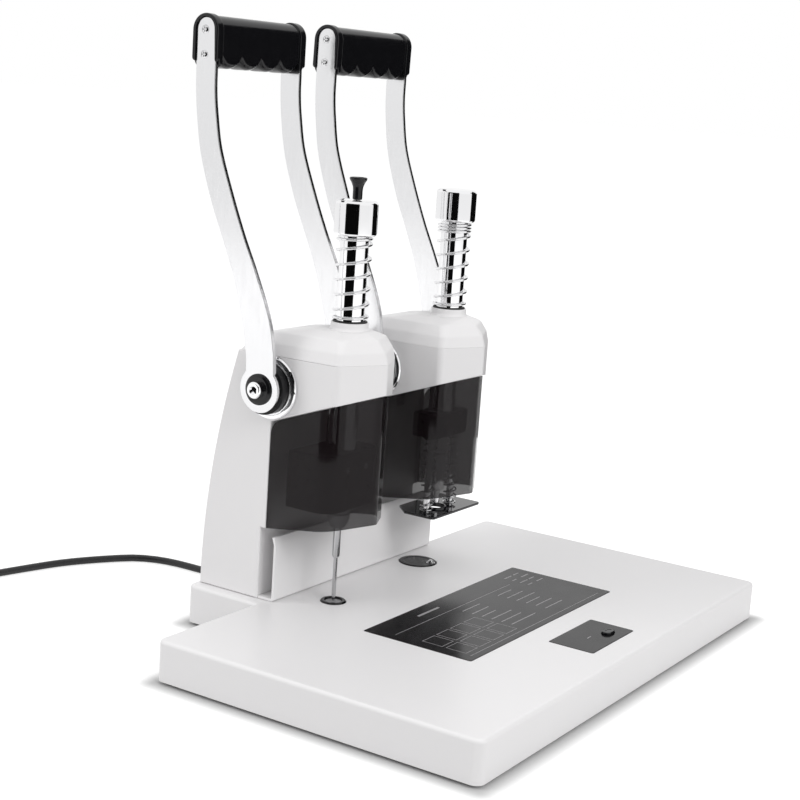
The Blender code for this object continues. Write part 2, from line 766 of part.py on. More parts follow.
def build_table_fittings():
    """The bearing surface under each head, the two panels and the power button."""
    pad_floor = BASE_TOP - PAD_RECESS + CLEARANCE
    pad_top = BASE_TOP + PAD_PROUD
    bore = PAD_RING_BORE
    profile = [(bore, pad_top), (PAD_RING_RADIUS - SMALL_CHAMFER, pad_top),
               (PAD_RING_RADIUS, BASE_TOP), (PAD_RING_RADIUS, pad_floor), (bore, pad_floor)]
    turned("pad_ring", profile, BLACK_PLASTIC, (DRILL_X, QUILL_Y, 0), ring=True)
    pad_radius = bore - CLEARANCE
    profile = [(0, BASE_TOP), (pad_radius, BASE_TOP), (pad_radius, pad_floor), (0, pad_floor)]
    turned("cutting_pad", profile, BRIGHT_STEEL, (DRILL_X, QUILL_Y, 0))

    die_x, die_y = RIVET_X - DIE_LEFT, QUILL_Y + DIE_BEHIND
    die_top = BASE_TOP + DIE_PROUD
    profile = [(0, die_top), (DIE_RADIUS - SMALL_CHAMFER, die_top), (DIE_RADIUS, BASE_TOP),
               (DIE_RADIUS, pad_floor), (0, pad_floor)]
    disc = turned("die_disc", profile, BLACK_PAINT, (die_x, die_y, 0), FINE_SIDES)
    seat_floor = pad_floor + CLEARANCE
    change(disc, upright_bar("die_seat", DIE_SEAT_RADIUS, seat_floor, BASE_TOP + OVERRUN,
                             RIVET_X, QUILL_Y, SMALL_SIDES), "DIFFERENCE")
    die_low = seat_floor + CLEARANCE
    seat_radius = DIE_SEAT_RADIUS - CLEARANCE
    profile = [(0, BASE_TOP + LOWER_DIE_PROUD), (LOWER_DIE_RADIUS / 2, BASE_TOP + LOWER_DIE_PROUD),
               (LOWER_DIE_RADIUS, die_top + SMALL_CHAMFER), (seat_radius, die_top),
               (seat_radius, die_low), (0, die_low)]
    turned("lower_die", profile, BRIGHT_STEEL, (RIVET_X, QUILL_Y, 0), SMALL_SIDES)

    low = BASE_TOP - PANEL_RECESS + CLEARANCE
    high = low + PANEL_THICKNESS
    flat_shape("label_panel", [panel_outline(LABEL_WIDTH, LABEL_FRONT, LABEL_DEPTH)],
               PANEL_THICKNESS, PANEL_FILM, middle(low, high))
    flat_shape("switch_plate",
               [panel_outline(SWITCH_WIDTH, SWITCH_FRONT, SWITCH_DEPTH), button_outline(CLEARANCE)],
               PANEL_THICKNESS, PANEL_FILM, middle(low, high))

    button_top = BASE_TOP + BUTTON_PRESSED_PROUD + BUTTON_TRAVEL
    flange_top = BASE_TOP - BASE_WALL - CLEARANCE
    flange_low = flange_top - BUTTON_FLANGE_THICKNESS
    button = prism("power_button", button_outline(0), button_top - flange_low, BLACK_PLASTIC,
                   middle(flange_low, button_top))
    round_edges(button, lambda corner: corner.z > button_top - MERGE, SMALL_CHAMFER, 2)
    change(button, prism("button_flange", button_outline(BUTTON_FLANGE), BUTTON_FLANGE_THICKNESS,
                         BLACK_PLASTIC, middle(flange_low, flange_top)), "UNION")


# Column and heads

def back_depth(height):
    """The depth of the rear face, which leans forward more and more with its height."""
    share = (height - BASE_TOP) / (CREASE_HEIGHT - BASE_TOP)
    return COLUMN_BACK - (COLUMN_BACK - CREASE_BACK) * share ** 2


def column_outline():
    """The column and head from the side, as depth and height."""
    foot = BASE_TOP + CLEARANCE
    lip_end = HEAD_LIP_BACK - LIP_SLOPE * (STEP_FACE - HEAD_LIP_DEPTH)
    outline = [(COLUMN_FACE, foot), (COLUMN_FACE, STEP_HEIGHT), (STEP_FACE, STEP_HEIGHT),
               (STEP_FACE, lip_end), (HEAD_FRONT, HEAD_LIP_FRONT), (HEAD_FRONT, CREASE_HEIGHT)]
    for step in range(BACK_STEPS + 1):
        height = CREASE_HEIGHT + (foot - CREASE_HEIGHT) * step / BACK_STEPS
        outline.append((back_depth(height), height))
    return [(behind(depth), height) for depth, height in reversed(outline)]


def plan_outline():
    """The column and both heads from above: two prongs that reach forward from one block."""
    gap = HEAD_SPACING / 2 - HEAD_HALF
    front, root, back = behind(HEAD_FRONT), behind(STEP_FACE), behind(COLUMN_BACK) + OVERRUN
    outline = []
    for x in (DRILL_X, RIVET_X):
        outline += prow(x, HEAD_HALF, front, HEAD_PROW, HEAD_TIP, HEAD_CORNER)
        if x == DRILL_X:
            outline += [(-gap, root), (gap, root)]
    half = HEAD_SPACING / 2 + HEAD_HALF
    outline += [(half, back), (-half, back)]
    return outline


def sector_slot_outline(stroke):
    """The space that the toothed sector sweeps, seen from the side, about the pivot."""
    swept = TIP_RADIUS + SLOT_SIDE_GAP
    hub = SECTOR_HUB_RADIUS + SLOT_SIDE_GAP
    tooth_turn = 360 / SECTOR_TEETH_ROUND
    above = tooth_turn * (math.ceil(stroke / TOOTH_PITCH) + 1)
    below = math.degrees(stroke / PITCH_RADIUS) + 2 * tooth_turn
    outline = arc((0, 0), swept, 180 - above, 180 + below, SLOT_STEPS)
    outline += arc((0, 0), hub, below - 180 + SLOT_SLANT, 180 - above - SLOT_SLANT, HUB_STEPS // 2)
    return outline


def open_head(item, label, x, stroke):
    """Bore one head for its quill and open the slot that the sector swings in."""
    change(item, upright_bar(f"{label}_quill_bore", QUILL_RADIUS + RUNNING, HEAD_LIP_BACK - OVERRUN,
                             COLLAR_TOP + OVERRUN, x, QUILL_Y, ROUND_SIDES), "DIFFERENCE")
    width = SECTOR_THICKNESS + 2 * SLOT_SIDE_GAP
    change(item, prism(f"{label}_sector_slot", sector_slot_outline(stroke), width, WHITE_PAINT,
                       (x, PIVOT_Y, PIVOT_HEIGHT), SIDE_VIEW), "DIFFERENCE")


def build_column():
    """One casting: the column, the bridge between the heads and the lower half of both heads."""
    width = 2 * (HEAD_SPACING / 2 + HEAD_HALF)
    column = prism("column_shell", column_outline(), width, WHITE_PAINT, (0, 0, 0), SIDE_VIEW)
    change(column, prism("column_plan", plan_outline(), CREASE_HEIGHT + 2 * OVERRUN, WHITE_PAINT,
                         middle(0, CREASE_HEIGHT)), "INTERSECT")
    gap = HEAD_SPACING / 2 - HEAD_HALF
    notch = [(behind(HEAD_FRONT) - OVERRUN, BRIDGE_HEIGHT),
             (behind(STEP_FACE) - OVERRUN, BRIDGE_HEIGHT),
             (behind(COLUMN_BACK) + OVERRUN, BRIDGE_HEIGHT + BRIDGE_RISE),
             (behind(COLUMN_BACK) + OVERRUN, CREASE_HEIGHT + OVERRUN),
             (behind(HEAD_FRONT) - OVERRUN, CREASE_HEIGHT + OVERRUN)]
    change(column, prism("bridge_notch", notch, 2 * gap, WHITE_PAINT, (0, 0, 0), SIDE_VIEW),
           "DIFFERENCE")
    inside = COLUMN_HALF_WIDTH - COLUMN_WALL
    hollow_top = BRIDGE_HEIGHT - 2 * COLUMN_WALL
    hollow = [(behind(COLUMN_FACE + COLUMN_WALL), BASE_TOP - OVERRUN),
              (behind(back_depth(BASE_TOP) - COLUMN_WALL), BASE_TOP - OVERRUN),
              (behind(back_depth(hollow_top) - COLUMN_WALL), hollow_top),
              (behind(COLUMN_FACE + COLUMN_WALL), hollow_top)]
    change(column, prism("column_hollow", hollow, 2 * inside, WHITE_PAINT, (0, 0, 0), SIDE_VIEW),
           "DIFFERENCE")
    open_head(column, "drill", DRILL_X, DRILL_STROKE)
    open_head(column, "rivet", RIVET_X, RIVET_STROKE)
    change(column, round_bar("shaft_bores", BORE_RADIUS, 2 * COLUMN_HALF_WIDTH + 2 * OVERRUN,
                             (0, PIVOT_Y, PIVOT_HEIGHT), ROUND_SIDES, (0, math.radians(90), 0)),
           "DIFFERENCE")


def between(crease_value, top_value, share):
    return top_value + (crease_value - top_value) * share


def build_head_cap(label, x, stroke):
    """The faceted hood on a head: it draws in from the crease to the quill's collar."""
    rings = []
    front_at_crease = QUILL_DEPTH - HEAD_FRONT
    back_at_crease = CREASE_BACK - QUILL_DEPTH
    for height, side, front, back, corner, blade in CAP_SECTION_SHARES:
        half = between(HEAD_HALF, CAP_TOP_HALF, side)
        low = QUILL_Y - between(front_at_crease, CAP_TOP_FRONT, front)
        high = QUILL_Y + between(back_at_crease, CAP_TOP_BACK, back)
        radius = between(HEAD_CORNER, CAP_TOP_CORNER, corner)
        outline = prow(0, half, low, between(HEAD_PROW, CAP_TOP_PROW, blade), HEAD_TIP, radius)
        outline += arc((half - radius, high - radius), radius, 0, 90, ARC_STEPS)
        outline += arc((radius - half, high - radius), radius, 90, 180, ARC_STEPS)
        level = CAP_BOTTOM + CAP_RISE * height
        rings.append([(across, along, level) for across, along in outline])
    cap = mesh_object(f"{label}_head_cap", loft(rings), WHITE_PAINT, (x, 0, 0))
    collar_low = CAP_BOTTOM + CAP_RISE - OVERRUN
    change(cap, upright_bar(f"{label}_collar", COLLAR_RADIUS, collar_low, COLLAR_TOP, x, QUILL_Y,
                            FINE_SIDES), "UNION")
    open_head(cap, f"{label}_cap", x, stroke)


# Levers

def bar_curve(shares):
    """A smooth line through the stations of the arm, as points with a half width."""
    stations = [Vector((ARM_REACH * back, ARM_HEIGHT * up, ARM_NECK_WIDTH * width / 2))
                for back, up, width in shares]
    ends = [2 * stations[0] - stations[1]] + stations + [2 * stations[-1] - stations[-2]]
    line = []
    for i in range(len(stations) - 1):
        before, start, end, after = ends[i:i + 4]
        for step in range(ARM_STEPS):
            share = step / ARM_STEPS
            line.append(0.5 * (2 * start + (end - before) * share
                               + (2 * before - 5 * start + 4 * end - after) * share ** 2
                               + (3 * start - before - 3 * end + after) * share ** 3))
    line.append(stations[-1])
    return line


def leaned(points, lean):
    """Points about the pivot, as depth and height, leaned forward by an angle."""
    return [(back * math.cos(lean) - up * math.sin(lean), back * math.sin(lean) + up * math.cos(lean))
            for back, up in points]


def arm_outline(margin):
    """The arm from the side, about the pivot: round eye, swept bar, round upper end."""
    line = bar_curve(ARM_STATION_SHARES)
    rear, fore = [], []
    for i, point in enumerate(line):
        ahead = line[min(i + 1, len(line) - 1)] - line[max(i - 1, 0)]
        across = Vector((ahead.y, -ahead.x)).normalized() * (point.z + margin)
        rear.append((point.x + across.x, point.y + across.y))
        fore.append((point.x - across.x, point.y - across.y))
    eye = ARM_EYE_RADIUS + margin
    neck = math.degrees(math.asin((ARM_NECK_WIDTH / 2 + margin) / eye))
    outline = arc((0, 0), eye, 90 + neck, 450 - neck, EYE_STEPS)
    outline += rear[1:-1]
    end = line[-1]
    outline += arc((end.x, ARM_HEIGHT - end.z), end.z + margin, 0, 180, EYE_STEPS // 2)
    outline += list(reversed(fore[1:-1]))
    return outline


def tooth_half_angle(radius):
    """Half the angle that an involute tooth of the sector covers at a radius."""
    base_radius = PITCH_RADIUS * math.cos(PRESSURE_ANGLE)
    local = math.acos(min(base_radius / radius, 1))
    involute = math.tan(PRESSURE_ANGLE) - PRESSURE_ANGLE - math.tan(local) + local
    return math.pi / (2 * SECTOR_TEETH_ROUND) + involute - BACKLASH / 2 / PITCH_RADIUS


def sector_outline(stroke):
    """The toothed sector from the side, about the pivot, with teeth for one stroke."""
    def at(radius, angle):
        return (-radius * math.cos(angle), radius * math.sin(angle))

    outline = []
    last_tooth = math.ceil(stroke / TOOTH_PITCH)
    steps = (ROOT_RADIUS, PITCH_RADIUS, TIP_RADIUS)
    for tooth in range(-1, last_tooth + 1):
        centre = tooth * 2 * math.pi / SECTOR_TEETH_ROUND
        outline += [at(radius, centre - tooth_half_angle(radius)) for radius in steps]
        outline += [at(radius, centre + tooth_half_angle(radius)) for radius in reversed(steps)]
    first = outline[0]
    start = math.degrees(math.atan2(first[1], first[0])) % 360
    end = math.degrees(math.atan2(outline[-1][1], outline[-1][0])) % 360
    outline += arc((0, 0), SECTOR_HUB_RADIUS, end - 30, start - 330, HUB_STEPS)
    return outline


def build_shaft(label, x, stroke, pivot):
    """The lever's shaft with its toothed sector, tapped at both ends."""
    shaft = round_bar(f"{label}_lever_shaft", SHAFT_RADIUS, 2 * SHAFT_HALF,
                      (x, PIVOT_Y, PIVOT_HEIGHT), ROUND_SIDES, (0, math.radians(90), 0), pivot)
    change(shaft, prism(f"{label}_sector", sector_outline(stroke), SECTOR_THICKNESS, GREY_STEEL,
                        (x, PIVOT_Y, PIVOT_HEIGHT), SIDE_VIEW), "UNION")
    depth = SCREW_STUB_LENGTH + CLEARANCE
    for side_name, side in (("left", -1), ("right", 1)):
        hole = round_bar(f"{label}_tapped_{side_name}", SCREW_STUB_RADIUS + RUNNING, depth + OVERRUN,
                         (x + side * (SHAFT_HALF - (depth - OVERRUN) / 2), PIVOT_Y, PIVOT_HEIGHT),
                         SMALL_SIDES, (0, math.radians(90), 0))
        change(shaft, hole, "DIFFERENCE")


def build_lever_side(label, x, side_name, side, lean, pivot):
    """Bearing ring, hub, arm and clamping screw on one side of a head."""
    outward = (0, side * math.radians(90), 0)
    centre = (x, PIVOT_Y, PIVOT_HEIGHT)
    ring_low = HEAD_HALF + CLEARANCE
    ring_high = ring_low + RING_THICKNESS
    profile = [(BORE_RADIUS, ring_high), (RING_RADIUS - SMALL_CHAMFER, ring_high),
               (RING_RADIUS, ring_high - SMALL_CHAMFER), (RING_RADIUS, ring_low), (BORE_RADIUS, ring_low)]
    turned(f"{label}_ring_{side_name}", profile, CHROME, centre, FINE_SIDES, True, outward)

    hub_low = ring_high + CLEARANCE
    hub_high = ARM_OFFSET - ARM_THICKNESS / 2 - CLEARANCE
    profile = [(BORE_RADIUS, hub_high), (HUB_RADIUS - SMALL_CHAMFER, hub_high),
               (HUB_RADIUS, hub_high - SMALL_CHAMFER), (HUB_RADIUS, hub_low), (BORE_RADIUS, hub_low)]
    turned(f"{label}_hub_{side_name}", profile, BLACK_PAINT, centre, ROUND_SIDES, True, outward,
           pivot)

    arm_x = x + side * ARM_OFFSET
    outlines = [leaned(arm_outline(0), lean), circle(BORE_RADIUS, SMALL_SIDES)]
    flat_shape(f"{label}_arm_{side_name}", outlines, ARM_THICKNESS, BRIGHT_STEEL,
               (arm_x, PIVOT_Y, PIVOT_HEIGHT), SIDE_VIEW, pivot)

    washer_low = ARM_OFFSET + ARM_THICKNESS / 2 + CLEARANCE
    washer_high = washer_low + WASHER_THICKNESS
    top = washer_high + SCREW_HEAD_LENGTH
    stub_end = SHAFT_HALF - SCREW_STUB_LENGTH
    profile = [(0, top), (SCREW_HEAD_RADIUS - SMALL_CHAMFER, top),
               (SCREW_HEAD_RADIUS, top - SMALL_CHAMFER),
               (SCREW_HEAD_RADIUS, washer_high - SMALL_CHAMFER / 2), (WASHER_RADIUS, washer_high),
               (WASHER_RADIUS, washer_low), (SCREW_STUB_RADIUS, washer_low),
               (SCREW_STUB_RADIUS, stub_end), (0, stub_end)]
    screw = turned(f"{label}_pivot_screw_{side_name}", profile, CHROME, centre, ROUND_SIDES, False,
                   outward, pivot)
    socket_length = HEX_DEPTH + OVERRUN
    socket_x = x + side * (top - HEX_DEPTH + socket_length / 2)
    change(screw, round_bar(f"{label}_hex_{side_name}", HEX_RADIUS, socket_length,
                            (socket_x, PIVOT_Y, PIVOT_HEIGHT), HEX_SIDES, outward), "DIFFERENCE")


def grip_ring(x, inset, corner, lean, drop=0):
    """The grip's section at one place: a round top, straight sides and a softened underside."""
    half = GRIP_FLANGE_HALF - inset
    top = GRIP_TOP - inset
    bottom = GRIP_BOTTOM + inset - drop
    section = arc((0, top - half), half, 0, 180, 2 * GRIP_SIDE_POINTS)
    section += arc((-half + corner, bottom + corner), corner, 180, 270, GRIP_SIDE_POINTS // 2)
    section += arc((half - corner, bottom + corner), corner, 270, 360, GRIP_SIDE_POINTS // 2)
    return [(x, back, up)
            for back, up in leaned([(ARM_REACH + across, up) for across, up in section], lean)]


def build_grip(label, x, lean, pivot):
    """The moulded grip: four finger lobes between two end flanges that hold the arms' ends."""
    body_half = GRIP_HALF_LENGTH - GRIP_FLANGE_LENGTH
    lobe = 2 * body_half / GRIP_LOBES
    flange, body = GRIP_FLANGE_CORNER, GRIP_BODY_CORNER
    step_low = GRIP_HALF_LENGTH - GRIP_FLANGE_STEP
    flanges = [(GRIP_HALF_LENGTH, SMALL_CHAMFER, 0), (GRIP_HALF_LENGTH - SMALL_CHAMFER, 0, 0),
               (step_low, 0, 0), (step_low - SMALL_CHAMFER, 0, GRIP_FLANGE_DROP),
               (body_half + SMALL_CHAMFER, 0, GRIP_FLANGE_DROP)]
    rings = [grip_ring(-along, inset, flange, lean, drop) for along, inset, drop in flanges]
    for step in range(GRIP_LOBES * GRIP_LOBE_STEPS + 1):
        phase = (step % GRIP_LOBE_STEPS) / GRIP_LOBE_STEPS
        drop = GRIP_LOBE_DROP * math.sin(math.pi * phase)
        along = -body_half + lobe * step / GRIP_LOBE_STEPS
        rings.append(grip_ring(along, GRIP_INSET, body, lean, drop))
    rings += [grip_ring(along, inset, flange, lean, drop)
              for along, inset, drop in reversed(flanges)]
    grip = mesh_object(f"{label}_grip", loft(rings), BLACK_PLASTIC, (x, PIVOT_Y, PIVOT_HEIGHT), pivot)
    floor = ARM_OFFSET - ARM_THICKNESS / 2 - CLEARANCE
    depth = GRIP_HALF_LENGTH - floor + OVERRUN
    pocket = leaned(arm_outline(CLEARANCE), lean)
    for side_name, side in (("left", -1), ("right", 1)):
        change(grip, prism(f"{label}_grip_pocket_{side_name}", pocket, depth, BLACK_PLASTIC,
                           (x + side * (floor + depth / 2), PIVOT_Y, PIVOT_HEIGHT), SIDE_VIEW),
               "DIFFERENCE")


def build_lever(label, x, stroke, lean):
    pivot = axis_empty(f"{label}_lever_axis", (x, PIVOT_Y, PIVOT_HEIGHT))
    build_shaft(label, x, stroke, pivot)
    for side_name, side in (("left", -1), ("right", 1)):
        build_lever_side(label, x, side_name, side, lean, pivot)
    build_grip(label, x, lean, pivot)


# Quills

def rack_cut_outline(stroke):
    """What is cut from the back of a quill to leave its rack teeth, about the quill's axis."""
    pitch_line = PIVOT_BEHIND_QUILL - PITCH_RADIUS
    root = pitch_line - TOOTH_MODULE * DEDENDUM_SHARE
    tip = pitch_line + TOOTH_MODULE * ADDENDUM_SHARE
    outside = QUILL_RADIUS + OVERRUN
    slant = math.tan(PRESSURE_ANGLE)
    half = TOOTH_PITCH / 4 - BACKLASH / 2
    low = PIVOT_HEIGHT - TEETH_BEYOND_MESH * TOOTH_PITCH
    high = PIVOT_HEIGHT + stroke + TEETH_BEYOND_MESH * TOOTH_PITCH
    outline = [(outside, low), (root, low)]
    for tooth in range(-2, math.ceil(stroke / TOOTH_PITCH) + 2):
        centre = PIVOT_HEIGHT + (tooth + 0.5) * TOOTH_PITCH
        at_root = half + (pitch_line - root) * slant
        at_tip = half - (tip - pitch_line) * slant
        if low < centre - at_root and centre + at_root < high:
            outline += [(root, centre - at_root), (tip, centre - at_tip),
                        (tip, centre + at_tip), (root, centre + at_root)]
    outline += [(root, high), (outside, high)]
    return list(reversed(outline))


def build_quill(label, x, stroke, bottom, bore_radius, lift, curls, closed):
    """A hardened post with a rack down its back, the chrome cap on its top and its spring."""
    axis = axis_empty(f"{label}_quill_axis", (x, QUILL_Y, PIVOT_HEIGHT))
    cap_low = QUILL_CAP_BOTTOM + lift
    cap_high = cap_low + QUILL_CAP_LENGTH
    seat = cap_low + QUILL_CAP_SEAT
    top = seat - CLEARANCE
    chamfer = QUILL_CAP_CHAMFER
    quill_chamfer = SMALL_CHAMFER
    quill = [(QUILL_RADIUS - quill_chamfer, top), (QUILL_RADIUS, top - quill_chamfer),
             (QUILL_RADIUS, bottom + quill_chamfer), (QUILL_RADIUS - quill_chamfer, bottom)]
    cap = [(QUILL_CAP_RADIUS - chamfer, cap_high), (QUILL_CAP_RADIUS, cap_high - chamfer),
           (QUILL_CAP_RADIUS, cap_low + chamfer), (QUILL_CAP_RADIUS - chamfer, cap_low),
           (QUILL_RADIUS + RUNNING, cap_low), (QUILL_RADIUS + RUNNING, seat)]
    quill = [(bore_radius, top)] + quill + [(bore_radius, bottom)]
    cap = [(bore_radius, cap_high)] + cap + [(bore_radius, seat)]
    hollow = bore_radius > 0
    post = turned(f"{label}_quill", quill, CHROME, (x, QUILL_Y, 0), ROUND_SIDES, hollow, carrier=axis)
    change(post, prism(f"{label}_rack_cut", rack_cut_outline(stroke), 2 * QUILL_RADIUS + OVERRUN,
                       CHROME, (x, QUILL_Y, 0), SIDE_VIEW), "DIFFERENCE")
    turned(f"{label}_quill_cap", cap, CHROME, (x, QUILL_Y, 0), FINE_SIDES, hollow, carrier=axis)
    spring(f"{label}_post_spring", x, QUILL_Y, POST_SPRING_RADIUS, POST_WIRE,
           COLLAR_TOP + CLEARANCE, cap_low - CLEARANCE, curls, POST_CURL_POINTS, closed)
    return axis


def build_cover(label, x):
    """A smoked guard: a bent sheet in front and on both sides, cut to the head's sloping lip."""
    front, back = behind(COVER_FRONT), behind(COVER_BACK)
    outline, inner = (prow(0, HEAD_HALF, front, COVER_PROW, COVER_TIP, COVER_CORNER, inset, COVER_STEPS)
                      for inset in (0, COVER_WALL))
    outline += [(HEAD_HALF, back), (HEAD_HALF - COVER_WALL, back)]
    outline += reversed(inner)
    outline += [(COVER_WALL - HEAD_HALF, back), (-HEAD_HALF, back)]
    low, high = COVER_BOTTOM_BACK - OVERRUN, HEAD_LIP_FRONT + OVERRUN
    cover = prism(f"{label}_cover", outline, high - low, SMOKED_PLASTIC, (x, 0, (low + high) / 2))

    lip_gap = CLEARANCE * math.hypot(1, LIP_SLOPE)
    front_top = HEAD_LIP_FRONT - LIP_SLOPE * (COVER_FRONT - HEAD_FRONT) - lip_gap
    slope = math.atan(LIP_SLOPE)
    back_top = front_top - LIP_SLOPE * (COVER_BACK - COVER_FRONT)
    corner = COVER_TOP_CORNER
    reach = corner * math.tan((math.pi / 2 - slope) / 2)
    centre = (back - corner, back_top - reach)
    side = [(back, COVER_BOTTOM_BACK)]
    side += arc(centre, corner, 0, 90 - math.degrees(slope), ARC_STEPS)
    side += [(front - OVERRUN, front_top + LIP_SLOPE * OVERRUN)]
    rise = (COVER_BOTTOM_FRONT - COVER_BOTTOM_BACK) / (COVER_BACK - COVER_FRONT)
    side += [(front - OVERRUN, COVER_BOTTOM_FRONT + rise * OVERRUN)]
    change(cover, prism(f"{label}_cover_side", side, HEAD_WIDTH + OVERRUN, SMOKED_PLASTIC,
                        (x, 0, 0), SIDE_VIEW), "INTERSECT")


def build_drilling_head():
    """Feed quill, drive block, chuck and hollow bit, with the clearing needle down its middle."""
    x = DRILL_X
    bore = NEEDLE_BORE_RADIUS
    axis = build_quill("drill", x, DRILL_STROKE, DRIVE_TOP + CLEARANCE, bore, 0, DRILL_POST_CURLS, 1)

    left, right = -DRIVE_HALF_WIDTH, DRIVE_HALF_WIDTH
    front, back = behind(DRIVE_FRONT), behind(DRIVE_BACK)
    outline = arc((right - DRIVE_CORNER, front + DRIVE_CORNER), DRIVE_CORNER, -90, 0, ARC_STEPS)
    outline += [(right, back), (left, back)]
    outline += arc((left + DRIVE_CORNER, front + DRIVE_CORNER), DRIVE_CORNER, 180, 270, ARC_STEPS)
    flat_shape("drive_case", [outline, circle(bore, SMALL_SIDES, (0, QUILL_Y))],
               DRIVE_TOP - DRIVE_BOTTOM, BLACK_PAINT, (x, 0, (DRIVE_BOTTOM + DRIVE_TOP) / 2),
               carrier=axis)

    chuck_top = DRIVE_BOTTOM - CLEARANCE
    bit_top = CHUCK_BOTTOM + BIT_SHANK
    shank_bore = BIT_RADIUS + CLEARANCE
    nose = CHUCK_RADIUS - CHUCK_NOSE_RADIUS
    profile = [(bore, chuck_top), (CHUCK_RADIUS, chuck_top), (CHUCK_RADIUS, CHUCK_BOTTOM + 2 * nose),
               (CHUCK_NOSE_RADIUS, CHUCK_BOTTOM), (shank_bore, CHUCK_BOTTOM),
               (shank_bore, bit_top + CLEARANCE), (bore, bit_top + CLEARANCE)]
    spindle = axis_empty("spindle_axis", (x, QUILL_Y, CHUCK_BOTTOM))
    spindle.parent = axis
    spindle.location -= axis.location
    turned("chuck", profile, GREY_STEEL, (0, 0, -CHUCK_BOTTOM), ring=True).parent = spindle
    edge = BIT_RADIUS - bore
    profile = [(bore, bit_top), (BIT_RADIUS, bit_top), (BIT_RADIUS, BIT_TIP + 2 * edge), (bore, BIT_TIP)]
    turned("drill_bit", profile, BRIGHT_STEEL, (0, 0, -CHUCK_BOTTOM), SMALL_SIDES, True).parent = spindle

    needle_low = BASE_TOP + CLEARANCE
    knob_low = QUILL_CAP_BOTTOM + QUILL_CAP_LENGTH + CLEARANCE
    knob_top = knob_low + NEEDLE_KNOB_LENGTH
    needle_top = knob_low + NEEDLE_SOCKET - CLEARANCE
    holder = axis_empty("needle_axis", (x, QUILL_Y, needle_low))
    profile = [(0, needle_top), (NEEDLE_RADIUS, needle_top), (NEEDLE_RADIUS, needle_low + NEEDLE_RADIUS),
               (NEEDLE_RADIUS / 2, needle_low), (0, needle_low)]
    turned("needle", profile, BRIGHT_STEEL, (x, QUILL_Y, 0), SMALL_SIDES, carrier=holder)
    socket = NEEDLE_RADIUS + CLEARANCE
    neck, rim = NEEDLE_KNOB_NECK, NEEDLE_KNOB_RADIUS
    profile = [(0, knob_top), (rim - SMALL_CHAMFER, knob_top), (rim, knob_top - SMALL_CHAMFER),
               (rim, knob_top - 2 * SMALL_CHAMFER),
               ((neck + rim) / 2, knob_low + KNOB_FLARE_SHARE * NEEDLE_KNOB_LENGTH),
               (neck, knob_low + KNOB_NECK_SHARE * NEEDLE_KNOB_LENGTH),
               (neck, knob_low), (socket, knob_low), (socket, knob_low + NEEDLE_SOCKET),
               (0, knob_low + NEEDLE_SOCKET)]
    turned("needle_knob", profile, BLACK_PLASTIC, (x, QUILL_Y, 0), PLUG_SIDES, carrier=holder)


